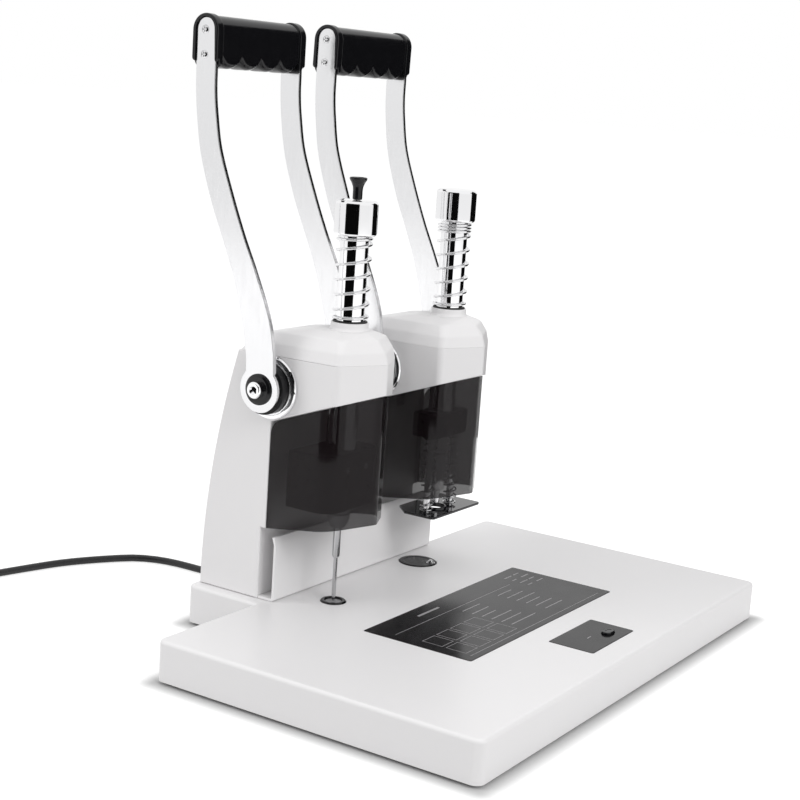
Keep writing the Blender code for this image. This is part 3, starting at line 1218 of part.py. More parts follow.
def build_riveting_head():
    """Press quill, guide block and punch, over a foot plate that hangs on two sprung rods."""
    x = RIVET_X
    axis = build_quill("rivet", x, RIVET_STROKE, GUIDE_TOP + CLEARANCE, 0, RIVET_QUILL_LIFT,
                       RIVET_POST_CURLS, RIVET_CLOSED_CURLS)
    rod_y = QUILL_Y - ROD_FORWARD
    outline = rounded_box(-GUIDE_HALF_WIDTH, GUIDE_HALF_WIDTH, QUILL_Y - GUIDE_FRONT,
                          QUILL_Y + GUIDE_REAR, GUIDE_CORNER, FEW_STEPS)
    holes = [circle(ROD_RADIUS + RUNNING, SMALL_SIDES, (side * ROD_OFFSET, rod_y)) for side in (-1, 1)]
    flat_shape("guide_block", [outline] + holes, GUIDE_TOP - GUIDE_BOTTOM, BLACK_PAINT,
               (x, 0, (GUIDE_BOTTOM + GUIDE_TOP) / 2), carrier=axis)
    punch_top = GUIDE_BOTTOM - CLEARANCE
    profile = [(0, punch_top), (PUNCH_RADIUS, punch_top), (PUNCH_RADIUS, PUNCH_SHOULDER + SMALL_CHAMFER),
               (PUNCH_RADIUS - SMALL_CHAMFER, PUNCH_SHOULDER), (PUNCH_TIP_RADIUS, PUNCH_SHOULDER),
               (PUNCH_TIP_RADIUS, PUNCH_TIP), (PUNCH_TIP_RADIUS / 2, PUNCH_TIP),
               (0, PUNCH_TIP + PUNCH_TIP_RADIUS / 2)]
    turned("rivet_punch", profile, BRIGHT_STEEL, (x, QUILL_Y, 0), PLUG_SIDES, carrier=axis)

    foot_axis = axis_empty("foot_plate_axis", (x, QUILL_Y, FOOT_PLATE_TOP))
    foot_axis.parent = axis
    foot_axis.location -= axis.location
    left, right = -FOOT_PLATE_LEFT, FOOT_PLATE_RIGHT
    front, rear = QUILL_Y - FOOT_PLATE_FRONT, QUILL_Y + FOOT_PLATE_REAR
    corner = FOOT_PLATE_CORNER
    outline = arc((right - corner, front + corner), corner, -90, 0, FEW_STEPS)
    outline += arc((right - corner, rear - corner), corner, 0, 90, FEW_STEPS)
    outline += [(left + FOOT_PLATE_CUT, rear), (left, rear - FOOT_PLATE_CUT)]
    outline += arc((left + corner, front + corner), corner, 180, 270, FEW_STEPS)
    hole = circle(FOOT_PLATE_HOLE_RADIUS, ROUND_SIDES, (0, QUILL_Y))
    plate = flat_shape("foot_plate", [outline, hole], FOOT_PLATE_THICKNESS, BLACK_MIRROR,
                       (x, 0, FOOT_PLATE_TOP - FOOT_PLATE_THICKNESS / 2))
    plate = made_solid(plate)
    head_low = GUIDE_TOP + CLEARANCE
    for side_name, side in (("left", -1), ("right", 1)):
        rod_x = x + side * ROD_OFFSET
        foot = FOOT_PLATE_TOP - FOOT_PLATE_THICKNESS / 2
        profile = [(0, head_low + ROD_HEAD_LENGTH), (ROD_HEAD_RADIUS, head_low + ROD_HEAD_LENGTH),
                   (ROD_HEAD_RADIUS, head_low), (ROD_RADIUS, head_low), (ROD_RADIUS, foot), (0, foot)]
        change(plate, turned(f"guide_rod_{side_name}", profile, BRIGHT_STEEL, (rod_x, rod_y, 0),
                             SMALL_SIDES), "UNION")
        spring(f"guide_spring_{side_name}", rod_x, rod_y, GUIDE_SPRING_RADIUS, GUIDE_WIRE,
               FOOT_PLATE_TOP + CLEARANCE, GUIDE_BOTTOM - CLEARANCE, GUIDE_CURLS, GUIDE_CURL_POINTS)
    plate.parent = foot_axis
    plate.matrix_parent_inverse = Matrix.Translation(Vector((x, QUILL_Y, FOOT_PLATE_TOP))).inverted()


def build_gauge():
    """The paper gauge: a sheet folded back along its top and along its foot."""
    front, back = behind(GAUGE_FACE), behind(GAUGE_FACE + GAUGE_SHEET)
    foot = BASE_TOP + CLEARANCE
    rear = behind(COLUMN_FACE) - CLEARANCE
    outline = [(front, foot), (rear, foot), (rear, foot + GAUGE_SHEET), (back, foot + GAUGE_SHEET),
               (back, GAUGE_FOLD), (back + GAUGE_LIP_LEAN, GAUGE_TOP),
               (front + GAUGE_LIP_LEAN, GAUGE_TOP), (front, GAUGE_FOLD)]
    flat_shape("paper_gauge", [outline], GAUGE_RIGHT - GAUGE_LEFT, WHITE_PAINT,
               ((GAUGE_LEFT + GAUGE_RIGHT) / 2, 0, 0), SIDE_VIEW)


# Cord

def smooth_line(knots, spacing):
    """Points at an even spacing on a smooth curve through the knots."""
    knots = [Vector(knot) for knot in knots]
    ends = [2 * knots[0] - knots[1]] + knots + [2 * knots[-1] - knots[-2]]
    fine = []
    for i in range(len(knots) - 1):
        before, start, end, after = ends[i:i + 4]
        for step in range(LINE_STEPS):
            share = step / LINE_STEPS
            fine.append(0.5 * (2 * start + (end - before) * share
                               + (2 * before - 5 * start + 4 * end - after) * share ** 2
                               + (3 * start - before - 3 * end + after) * share ** 3))
    fine.append(knots[-1])
    total = sum((b - a).length for a, b in zip(fine, fine[1:]))
    count = round(total / spacing)
    points, walked, goal = [fine[0]], 0.0, total / count
    for a, b in zip(fine, fine[1:]):
        length = (b - a).length
        while walked + length >= goal * len(points) and len(points) < count:
            points.append(a + (b - a) * (goal * len(points) - walked) / length)
        walked += length
    return points + [fine[-1]]


def coil_points(lay):
    """The coil's loops: a spiral in, a climb over half a turn, and a spiral out on top."""
    centre = Vector((COIL_START_X, behind(TAIL_DEPTH + COIL_START_BEHIND) + COIL_OUTER_RADIUS, 0))
    turn_back = COIL_CLIMB_START + COIL_CLIMB_TURNS / 2
    points = []
    for step in range(round(COIL_TURNS * COIL_LOOP_POINTS) + 1):
        turns = step / COIL_LOOP_POINTS
        radius = COIL_OUTER_RADIUS - COIL_STEP * (min(turns, turn_back) - max(turns - turn_back, 0))
        climb = min(max((turns - COIL_CLIMB_START) / COIL_CLIMB_TURNS, 0), 1)
        angle = -2 * math.pi * (turns + COIL_START_TURN)
        points.append(centre + Vector((radius * math.cos(angle), radius * math.sin(angle),
                                       lay + COIL_LAYER * climb)))
    return points


def build_cord():
    """The mains lead: strain relief in the tail, a run along the floor, a coil of the rest, a plug."""
    diameter = 2 * CORD_RADIUS
    lay = CORD_RADIUS + FLOOR_GAP
    gland_y = behind(TAIL_DEPTH) + CLEARANCE
    profile = [(0, GLAND_LENGTH), (GLAND_TIP_RADIUS, GLAND_LENGTH),
               (GLAND_STUB_RADIUS, GLAND_FLANGE), (GLAND_RADIUS, GLAND_FLANGE), (GLAND_RADIUS, 0),
               (GLAND_STUB_RADIUS, 0), (GLAND_STUB_RADIUS, -BASE_WALL - GLAND_FLANGE),
               (0, -BASE_WALL - GLAND_FLANGE)]
    turned("cord_gland", profile, BLACK_RUBBER, (CORD_X, gland_y, CORD_LIFT), SMALL_SIDES, False,
           (math.radians(-90), 0, 0))

    start_y = gland_y + GLAND_LENGTH + CLEARANCE
    knots = [(CORD_X, start_y, CORD_LIFT)]
    for step in range(DESCENT_STEPS + 1):
        share = step / DESCENT_STEPS
        fall = (1 - math.cos(math.pi * share)) / 2
        knots.append((CORD_X, start_y + diameter + CORD_DESCENT * share,
                      CORD_LIFT + (lay - CORD_LIFT) * fall))
    knots += [(x, behind(TAIL_DEPTH + beyond), lay) for x, beyond in CORD_ROUTE]
    end_x = COIL_START_X + 2 * diameter + CLEARANCE
    end_y = behind(TAIL_DEPTH + COIL_START_BEHIND)
    knots += [(end_x + diameter, end_y, lay), (end_x, end_y, lay)]
    run = [Vector(knots[0])] + smooth_line(knots[1:-1], RUN_SPACING) + [Vector(knots[-1])]
    for point in run[3:]:
        point.z = max(point.z, lay)
    tube("cord_run", run, CORD_RADIUS, 2, CORD_RUBBER)

    loops = coil_points(lay)
    first, last = loops[0], loops[-1]
    loops = [first + Vector((2 * diameter, 0, 0)), first + Vector((diameter, 0, 0))] + loops
    loops += [last + Vector((0, diameter, 0)), last + Vector((0, COIL_LEAD_OUT, 0))]
    gap = least_gap(loops, diameter, COIL_LOOP_POINTS // 2)
    print(f"cord_coil: {COIL_TURNS} loops, least gap {gap * 1000:.2f} mm")
    tube("cord_coil", loops, CORD_RADIUS, 1, CORD_RUBBER)

    end = loops[-1]
    plug_y = end.y + CLEARANCE
    profile = [(0, PLUG_LENGTH), (PLUG_RADIUS - SMALL_CHAMFER, PLUG_LENGTH),
               (PLUG_RADIUS, PLUG_LENGTH - SMALL_CHAMFER), (PLUG_RADIUS, PLUG_TAIL),
               (PLUG_BACK_RADIUS, 0), (0, 0)]
    along = (math.radians(-90), 0, 0)
    plug = turned("plug", profile, BLACK_RUBBER, (end.x, plug_y, end.z), PLUG_SIDES, False, along)
    pin_y = plug_y + PLUG_LENGTH + PIN_LENGTH / 2 - OVERRUN / 2
    for side_name, side in (("left", -1), ("right", 1)):
        pin = round_bar(f"plug_pin_{side_name}", PIN_RADIUS, PIN_LENGTH + OVERRUN,
                        (end.x + side * PIN_OFFSET, pin_y, end.z), SMALL_SIDES, along)
        change(plug, pin, "UNION")


build_base()
build_base_plate()
build_table_fittings()
build_gauge()
build_column()
for head, head_x, head_stroke, lever_lean in (("drill", DRILL_X, DRILL_STROKE, 0),
                                              ("rivet", RIVET_X, RIVET_STROKE, RIVET_LEVER_LEAN)):
    build_head_cap(head, head_x, head_stroke)
    build_cover(head, head_x)
    build_lever(head, head_x, head_stroke, lever_lean)
build_drilling_head()
build_riveting_head()
build_cord()
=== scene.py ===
"""Looks of the twin-lever binding machine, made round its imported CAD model.

Metres, +Z up, +X to the operator's right and +Y away from the operator, as in the CAD source.
"""
import math

import bmesh
import bpy
from mathutils import Matrix, Vector


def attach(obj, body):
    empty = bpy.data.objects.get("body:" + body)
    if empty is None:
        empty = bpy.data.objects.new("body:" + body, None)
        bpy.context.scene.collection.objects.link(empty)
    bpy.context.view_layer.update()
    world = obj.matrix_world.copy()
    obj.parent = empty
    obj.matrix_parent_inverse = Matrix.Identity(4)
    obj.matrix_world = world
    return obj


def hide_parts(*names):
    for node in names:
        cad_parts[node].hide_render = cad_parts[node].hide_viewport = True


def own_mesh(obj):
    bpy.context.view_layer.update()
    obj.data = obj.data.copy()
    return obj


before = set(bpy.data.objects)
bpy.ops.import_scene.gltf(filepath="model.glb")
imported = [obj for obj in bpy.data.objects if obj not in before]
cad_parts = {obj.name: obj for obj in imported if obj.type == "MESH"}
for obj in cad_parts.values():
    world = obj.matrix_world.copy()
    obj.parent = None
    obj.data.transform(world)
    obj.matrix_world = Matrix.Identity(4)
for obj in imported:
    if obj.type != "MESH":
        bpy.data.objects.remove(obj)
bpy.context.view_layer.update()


# Camera. A longish lens at the front left of the machine, a little above its column, turned a few
# degrees on its own axis as the photographer held it.

def place_camera():
    azimuth, elevation, roll = (math.radians(angle) for angle in (-57.22, 10.88, 3.82))
    back = Vector((math.sin(azimuth) * math.cos(elevation),
                   -math.cos(azimuth) * math.cos(elevation), math.sin(elevation)))
    level_right = Vector((0, 0, 1)).cross(back).normalized()
    level_up = back.cross(level_right)
    right = math.cos(roll) * level_right + math.sin(roll) * level_up
    up = math.cos(roll) * level_up - math.sin(roll) * level_right
    sensor_width, focal_length = 36, 71.96
    place = Vector((-1.0613, -0.6316, 0.4288))
    data = bpy.data.cameras.new("camera")
    data.sensor_width = sensor_width
    data.lens = focal_length
    camera = bpy.data.objects.new("camera", data)
    camera.matrix_world = Matrix((
        (right.x, up.x, back.x, place.x),
        (right.y, up.y, back.y, place.y),
        (right.z, up.z, back.z, place.z),
        (0, 0, 0, 1)))
    bpy.context.scene.collection.objects.link(camera)
    bpy.context.scene.camera = camera
    bpy.context.scene.view_settings.view_transform = "Standard"


place_camera()


# Mains lead. Black round PVC flex that leaves the tail through a ribbed strain relief, sinks to the
# floor, runs off to the left and ends in a moulded two-pin plug. The length that is spare lies in a
# coil of five loops, held by a fabric tie.

def node_material(name, colour, roughness):
    """A Principled material with its output, ready for the nodes that vary it."""
    made = bpy.data.materials.new(name)
    made.use_nodes = True
    shader = made.node_tree.nodes["Principled BSDF"]
    shader.inputs["Base Color"].default_value = (*colour, 1)
    shader.inputs["Roughness"].default_value = roughness
    return made, shader


def noise(made, scale, detail=3.0, stretch=(1, 1, 1)):
    """Noise on Object coordinates, drawn out along an axis by its stretch."""
    nodes, links = made.node_tree.nodes, made.node_tree.links
    place = nodes.new("ShaderNodeTexCoord")
    mapping = nodes.new("ShaderNodeMapping")
    mapping.inputs["Scale"].default_value = stretch
    texture = nodes.new("ShaderNodeTexNoise")
    texture.inputs["Scale"].default_value = scale
    texture.inputs["Detail"].default_value = detail
    links.new(place.outputs["Object"], mapping.inputs["Vector"])
    links.new(mapping.outputs["Vector"], texture.inputs["Vector"])
    return texture.outputs["Fac"]


def blended(made, factor, low, high, socket):
    """Drive a colour socket between two colours."""
    mix = made.node_tree.nodes.new("ShaderNodeMix")
    mix.data_type = "RGBA"
    mix.inputs["A"].default_value = (*low, 1)
    mix.inputs["B"].default_value = (*high, 1)
    made.node_tree.links.new(factor, mix.inputs["Factor"])
    made.node_tree.links.new(mix.outputs["Result"], socket)


def ranged(made, factor, low, high, socket):
    """Drive a number socket between two values."""
    span = made.node_tree.nodes.new("ShaderNodeMapRange")
    span.inputs["From Min"].default_value = 0.25
    span.inputs["From Max"].default_value = 0.75
    span.inputs["To Min"].default_value = low
    span.inputs["To Max"].default_value = high
    made.node_tree.links.new(factor, span.inputs["Value"])
    made.node_tree.links.new(span.outputs["Result"], socket)


def relief(made, shader, factor, height):
    """Raise the surface by a pattern, to a height in metres."""
    bump = made.node_tree.nodes.new("ShaderNodeBump")
    bump.inputs["Strength"].default_value = 1
    bump.inputs["Distance"].default_value = height
    made.node_tree.links.new(factor, bump.inputs["Height"])
    made.node_tree.links.new(bump.outputs["Normal"], shader.inputs["Normal"])


def surface(name, colour, roughness, rough, bump=None, **inputs):
    """A material of uneven roughness on a finely raised surface.

    Rough is the least, the most and the noise between them, bump is a height and its noise."""
    made, shader = node_material(name, colour, roughness)
    for label, value in inputs.items():
        shader.inputs[label.replace("_", " ")].default_value = value
    low, high, *pattern = rough
    ranged(made, noise(made, *pattern), low, high, shader.inputs["Roughness"])
    if bump:
        height, *pattern = bump
        relief(made, shader, noise(made, *pattern), height)
    return made


def smooth_rows(rows, steps):
    """Rows of numbers with even steps between them on a smooth curve."""
    rows = [Vector(row) for row in rows]
    ends = [2 * rows[0] - rows[1]] + rows + [2 * rows[-1] - rows[-2]]
    line = []
    for i in range(len(rows) - 1):
        before, start, end, after = ends[i:i + 4]
        for count in range(steps):
            share = count / steps
            line.append(0.5 * (2 * start + (end - before) * share
                               + (2 * before - 5 * start + 4 * end - after) * share ** 2
                               + (3 * start - before - 3 * end + after) * share ** 3))
    return line + [rows[-1]]


def smooth_line(knots, spacing):
    """Points at an even spacing on a smooth curve through the knots."""
    fine = smooth_rows(knots, 16)
    total = sum((b - a).length for a, b in zip(fine, fine[1:]))
    count = round(total / spacing)
    points, walked, goal = [fine[0]], 0.0, total / count
    for a, b in zip(fine, fine[1:]):
        length = (b - a).length
        while walked + length >= goal * len(points) and len(points) < count:
            points.append(a + (b - a) * (goal * len(points) - walked) / length)
        walked += length
    return points + [fine[-1]]


def lead_points(radius):
    """The lead's line: out of the strain relief, down, along the floor, and round in its coil."""
    lay = radius + 0.00005
    tail = 0.16475
    start = tail + 0.0003 + 0.024 + 0.0003
    lift, descent = 0.0115, 0.036
    knots = [(-0.008, start, lift)]
    for step in range(6):
        fall = (1 - math.cos(math.pi * step / 5)) / 2
        knots.append((-0.008, start + 2 * radius + descent * step / 5, lift + (lay - lift) * fall))
    for x, beyond in ((-0.0088, 0.0810), (-0.0095, 0.1040), (-0.0130, 0.1231), (-0.0210, 0.1396),
                      (-0.0325, 0.1507), (-0.0571, 0.1661), (-0.0821, 0.1779), (-0.1107, 0.1862),
                      (-0.1384, 0.1930), (-0.1600, 0.1975), (-0.1755, 0.2000)):
        knots.append((x, tail + beyond, lay))
    points = [Vector(knots[0])] + smooth_line(knots[1:], 0.011)
    for point in points[3:]:
        point.z = max(point.z, lay)
    coil_x, coil_outer, coil_step, layer = -0.190, 0.046, 0.007, 0.0068
    centre = Vector((coil_x, tail + 0.200 + coil_outer, 0))
    loop_points, turns_all, climb_start, climb_turns = 24, 5.25, 2.5, 0.5
    turn_back = climb_start + climb_turns / 2
    points.append(centre + Vector((0.0062, -coil_outer, lay)))
    for step in range(round(turns_all * loop_points) + 1):
        turns = step / loop_points
        reach = coil_outer - coil_step * (min(turns, turn_back) - max(turns - turn_back, 0))
        climb = min(max((turns - climb_start) / climb_turns, 0), 1)
        angle = -2 * math.pi * (turns + 0.25)
        on_tie = 0.0005 * max(math.cos(angle), 0) ** 4
        points.append(centre + Vector((reach * math.cos(angle), reach * math.sin(angle),
                                       lay + layer * climb + on_tie)))
    last = points[-1]
    points += [last + Vector((0, beyond, 0)) for beyond in (0.0062, 0.022, 0.038)]
    return points


def arc(centre, radius, start, end, steps):
    """Points on an arc between two angles in degrees, both ends included."""
    points = []
    for step in range(steps + 1):
        angle = math.radians(start + (end - start) * step / steps)
        points.append((centre[0] + radius * math.cos(angle), centre[1] + radius * math.sin(angle)))
    return points


def placed(name, mesh):
    """An object of the scene for a mesh that already lies in its place."""
    item = bpy.data.objects.new(name, mesh)
    bpy.context.scene.collection.objects.link(item)
    return item


def meshed(name, shape):
    """The object that a bmesh makes, its faces turned outwards. The bmesh is used up."""
    bmesh.ops.recalc_face_normals(shape, faces=shape.faces)
    mesh = bpy.data.meshes.new(name)
    shape.to_mesh(mesh)
    shape.free()
    return placed(name, mesh)


def flattened(item):
    """The object with what its modifiers do made part of its own mesh."""
    bpy.context.view_layer.update()
    graph = bpy.context.evaluated_depsgraph_get()
    mesh = bpy.data.meshes.new_from_object(item.evaluated_get(graph))
    item.modifiers.clear()
    item.data = mesh
    return item


PLAN = Matrix.Identity(4)


def turned(profile, place=(0, 0, 0), sides=48, ring=False, view=PLAN, rim=0.0):
    """A turned solid of radius and height pairs, down its outside and back up a ring's bore.

    Corners that are drawn sharp are eased by the rim."""
    line = [Vector((radius, height)) for radius, height in profile]
    if rim:
        eased = []
        for i, corner in enumerate(line):
            before = line[i - 1] if ring or i else None
            after = line[(i + 1) % len(line)] if ring or i < len(line) - 1 else None
            if before is None or after is None or corner.x == 0:
                eased.append(corner)
                continue
            back, ahead = before - corner, after - corner
            reach = min(rim, 0.45 * back.length, 0.45 * ahead.length)
            first, last = corner + back.normalized() * reach, corner + ahead.normalized() * reach
            for step in range(4):
                share = step / 3
                eased.append(first * (1 - share) ** 2 + corner * 2 * share * (1 - share)
                             + last * share ** 2)
        line = eased
    shape = bmesh.new()
    rows = []
    for radius, height in line:
        if radius < 0.0000001:
            rows.append([shape.verts.new((0, 0, height))] * sides)
        else:
            rows.append([shape.verts.new((radius * math.cos(math.tau * k / sides),
                                          radius * math.sin(math.tau * k / sides), height))
                         for k in range(sides)])
    pairs = list(zip(rows, rows[1:])) + ([(rows[-1], rows[0])] if ring else [])
    for upper, lower in pairs:
        for k in range(sides):
            corners = (upper[k], lower[k], lower[(k + 1) % sides], upper[(k + 1) % sides])
            distinct = list(dict.fromkeys(corners))
            if len(distinct) > 2:
                shape.faces.new(distinct)
    bmesh.ops.transform(shape, matrix=Matrix.Translation(place) @ view, verts=shape.verts)
    return meshed("turned", shape)


def finished(item, name, made, slot, body, *stands_for, edge=32):
    """Name a piece, give it its finish and its shading, and let it ride on its body."""
    item.name = item.data.name = name
    item.data.materials.clear()
    item.data.materials.append(made)
    item.data.shade_smooth()
    item.data.set_sharp_from_angle(angle=math.radians(edge))
    weights = item.modifiers.new("weights", "WEIGHTED_NORMAL")
    weights.keep_sharp = True
    flattened(item)
    item.data.name = name
    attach(item, body)
    if stands_for:
        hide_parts(*stands_for)
    return item


def new_tree(name, **inputs):
    """An empty Geometry Nodes tree with one named input for each size, and its input node."""
    tree = bpy.data.node_groups.new(name, "GeometryNodeTree")
    tree.is_modifier = True
    tree.interface.new_socket("Geometry", in_out="INPUT", socket_type="NodeSocketGeometry")
    for label, kind in inputs.items():
        tree.interface.new_socket(label, in_out="INPUT", socket_type="NodeSocket" + kind)
    tree.interface.new_socket("Geometry", in_out="OUTPUT", socket_type="NodeSocketGeometry")
    return tree, tree.nodes.new("NodeGroupInput").outputs


def step_of(tree, kind, feeds, output=0, **settings):
    """Add a node with its settings, feed its inputs from sockets or plain values, give an output."""
    made = tree.nodes.new(kind)
    for setting, value in settings.items():
        setattr(made, setting, value)
    for key, feed in feeds.items():
        if isinstance(feed, bpy.types.NodeSocket):
            tree.links.new(feed, made.inputs[key])
        else:
            made.inputs[key].default_value = feed
    return made.outputs[output]


def number(tree, operation, *feeds):
    return step_of(tree, "ShaderNodeMath", dict(enumerate(feeds)), operation=operation)


def vector(tree, x=0.0, y=0.0, z=0.0):
    return step_of(tree, "ShaderNodeCombineXYZ", {"X": x, "Y": y, "Z": z})


def close_tree(tree, shape, finish):
    """End a tree: instances made real, the finish put on, and the result sent out."""
    real = step_of(tree, "GeometryNodeRealizeInstances", {"Geometry": shape})
    painted = step_of(tree, "GeometryNodeSetMaterial", {"Geometry": real, "Material": finish})
    tree.links.new(painted, tree.nodes.new("NodeGroupOutput").inputs[0])
    return tree


def grown(tree, places=None, **values):
    """The plain mesh that a tree grows from its inputs, and from points where it needs them."""
    seed = bpy.data.meshes.new("seed")
    if places:
        seed.from_pydata(places, [], [])
    item = placed("grown", seed)
    modifier = item.modifiers.new("grow", "NODES")
    modifier.node_group = tree
    for socket in tree.interface.items_tree:
        if socket.item_type == "SOCKET" and socket.in_out == "INPUT" and socket.name in values:
            modifier[socket.identifier] = values[socket.name]
    return flattened(item)


rubber = surface("black_rubber", (0.018, 0.018, 0.018), 0.55, (0.48, 0.64, 300), (0.00003, 1200))
screw_steel = surface("screw_steel", (0.80, 0.80, 0.81), 0.22, (0.16, 0.30, 500), Metallic=1.0)


def ribs_tree():
    """Round ribs in a row, whose radius changes evenly from the first to the last."""
    tree, given = new_tree("round_ribs", Start="Vector", Step="Vector", Count="Int", First="Float",
                           Last="Float", Thick="Float", Turn="Vector", Finish="Material")
    row = step_of(tree, "GeometryNodeMeshLine",
                  {"Count": given["Count"], "Start Location": given["Start"], "Offset": given["Step"]})
    ring = step_of(tree, "GeometryNodeCurvePrimitiveCircle", {"Resolution": 32, "Radius": 1.0})
    section = step_of(tree, "GeometryNodeCurvePrimitiveCircle",
                      {"Resolution": 10, "Radius": number(tree, "DIVIDE", given["Thick"], given["First"])})
    rib = step_of(tree, "GeometryNodeCurveToMesh", {"Curve": ring, "Profile Curve": section})
    share = number(tree, "DIVIDE", step_of(tree, "GeometryNodeInputIndex", {}),
                   number(tree, "SUBTRACT", given["Count"], 1.0))
    grow = number(tree, "MULTIPLY", share, number(tree, "SUBTRACT", given["Last"], given["First"]))
    radius = number(tree, "ADD", given["First"], grow)
    ribs = step_of(tree, "GeometryNodeInstanceOnPoints",
                   {"Points": row, "Instance": rib, "Rotation": given["Turn"],
                    "Scale": vector(tree, radius, radius, radius)})
    return close_tree(tree, ribs, given["Finish"])


ROUND_RIBS = ribs_tree()
REARWARD = Matrix.Rotation(math.radians(-90), 4, "X")


def make_strain_relief():
    place = Vector((-0.008, 0.16505, 0.0115))
    profile = [(0, 0.024), (0.0033, 0.024), (0.0040, 0.002), (0.0058, 0.002), (0.0065, 0.0013),
               (0.0065, 0), (0.0048, 0), (0.0048, -0.005), (0, -0.005)]
    body = turned(profile, place, 48, view=REARWARD, rim=0.0003)
    finished(body, "strain_relief", rubber, "black_rubber", "machine", "cord_gland")
    ribs = grown(ROUND_RIBS, Start=place + Vector((0, 0.0048, 0)), Step=(0, 0.0035, 0), Count=6,
                 First=0.0040, Last=0.0034, Thick=0.0007, Finish=rubber, Turn=(math.radians(90), 0, 0))
    finished(ribs, "strain_relief_ribs", rubber, "black_rubber", "machine")
    return [body, ribs]


def make_plug(end):
    place = end + Vector((0, 0.0003, 0))
    profile = [(0, 0.0340), (0.0086, 0.0340), (0.0098, 0.0328), (0.0098, 0.0205), (0.0086, 0.0190),
               (0.0086, 0.0130), (0.0076, 0.0100), (0.0052, 0.0040), (0.0046, 0), (0, 0)]
    body = turned(profile, place, 56, view=REARWARD, rim=0.0008)
    finished(body, "plug_body", rubber, "black_rubber", "machine", "plug")
    ribs = grown(ROUND_RIBS, Start=place + Vector((0, 0.0142, 0)), Step=(0, 0.0022, 0), Count=3,
                 First=0.0087, Last=0.0087, Thick=0.0006, Finish=rubber, Turn=(math.radians(90), 0, 0))
    finished(ribs, "plug_ribs", rubber, "black_rubber", "machine")
    pieces = [body, ribs]
    for side_name, across in (("left", -0.0055), ("right", 0.0055)):
        profile = [(0, 0.0530), (0.0012, 0.0530), (0.0020, 0.0520), (0.0020, 0.0330), (0, 0.0330)]
        pin = turned(profile, place + Vector((across, 0, 0)), 28, view=REARWARD, rim=0.0005)
        finished(pin, f"plug_pin_{side_name}", screw_steel, "bright_steel", "machine")
        pieces.append(pin)
    return pieces


def outer_line(points):
    """The outline round a set of points in a plane, anticlockwise."""
    points = sorted(points)
    halves = []
    for row in (points, points[::-1]):
        half = []
        for point in row:
            while len(half) > 1 and ((half[-1][0] - half[-2][0]) * (point[1] - half[-2][1])
                                     <= (half[-1][1] - half[-2][1]) * (point[0] - half[-2][0])):
                half.pop()
            half.append(point)
        halves += half[:-1]
    return halves


def make_tie(points, radius):
    """A fabric band round the coil's bundle, on the side away from the machine's lead."""
    centre_x, centre_y = -0.190, 0.41075
    middles = [(point.x - centre_x, point.z) for point in points
               if abs(point.y - centre_y) < 0.0025 and 0.02 < point.x - centre_x < 0.05]
    snug = radius + 0.0001
    around = [spot for middle in middles for spot in arc(middle, snug, 0, 360, 32)]
    line = [(across, max(up, 0.0004)) for across, up in outer_line(around)]
    spots = [Vector(spot) for i, spot in enumerate(line)
             if (Vector(spot) - Vector(line[i - 1])).length > 0.00002]
    width, thick = 0.0035, 0.00035
    shape = bmesh.new()
    rows = []
    for i, spot in enumerate(spots):
        ahead = spots[(i + 1) % len(spots)] - spots[i - 1]
        out = Vector((ahead.y, -ahead.x)).normalized() * thick
        rows.append([shape.verts.new((centre_x + spot.x + out.x * far, centre_y + along,
                                      max(spot.y + out.y * far, 0.00002)))
                     for far, along in ((0, -width), (1, -width), (1, width), (0, width))])
    for i, row in enumerate(rows):
        before = rows[i - 1]
        for k in range(4):
            shape.faces.new((before[k], row[k], row[(k + 1) % 4], before[(k + 1) % 4]))
    weave, weave_shader = node_material("black_tape", (0.022, 0.022, 0.023), 0.85)
    weave_shader.inputs["Sheen Weight"].default_value = 0.3
    relief(weave, weave_shader, noise(weave, 1500, 2, (1, 1, 0.3)), 0.0001)
    return finished(meshed("tie", shape), "coil_tie", weave, "cord_rubber", "machine", edge=50)


def make_lead():
    flex = surface("black_flex", (0.012, 0.012, 0.013), 0.38, (0.30, 0.46, 260), (0.00005, 900))
    radius = 0.0031
    points = lead_points(radius)
    curve = bpy.data.curves.new("mains_lead", "CURVE")
    curve.dimensions = "3D"
    curve.bevel_depth = radius
    curve.bevel_resolution = 5
    curve.use_fill_caps = True
    spline = curve.splines.new("POLY")
    spline.points.add(len(points) - 1)
    for corner, point in zip(spline.points, points):
        corner.co = (*point, 1)
    spline.use_smooth = True
    curve.materials.append(flex)
    lead = placed("mains_lead", curve)
    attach(lead, "machine")
    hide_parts("cord_run", "cord_coil")
    on_it = make_strain_relief() + make_plug(points[-1]) + [make_tie(points, radius)]


make_lead()


# Studio. A white sweep under and behind the machine, and large soft lamps in front, at the rear left
# and above. Three dark cards, seen only in mirrors, give the chrome its black bands.

QUILL_Y = 0.05565


def mixed_shader(made, first, second, factor):
    mix = made.node_tree.nodes.new("ShaderNodeMixShader")
    made.node_tree.links.new(factor, mix.inputs["Fac"])
    made.node_tree.links.new(first, mix.inputs[1])
    made.node_tree.links.new(second, mix.inputs[2])
    return mix.outputs[0]


def reckoned(made, operation, first, second):
    """Arithmetic on two sockets or plain numbers."""
    step = made.node_tree.nodes.new("ShaderNodeMath")
    step.operation = operation
    for socket, feed in zip(step.inputs, (first, second)):
        if isinstance(feed, bpy.types.NodeSocket):
            made.node_tree.links.new(feed, socket)
        else:
            socket.default_value = feed
    return step.outputs[0]


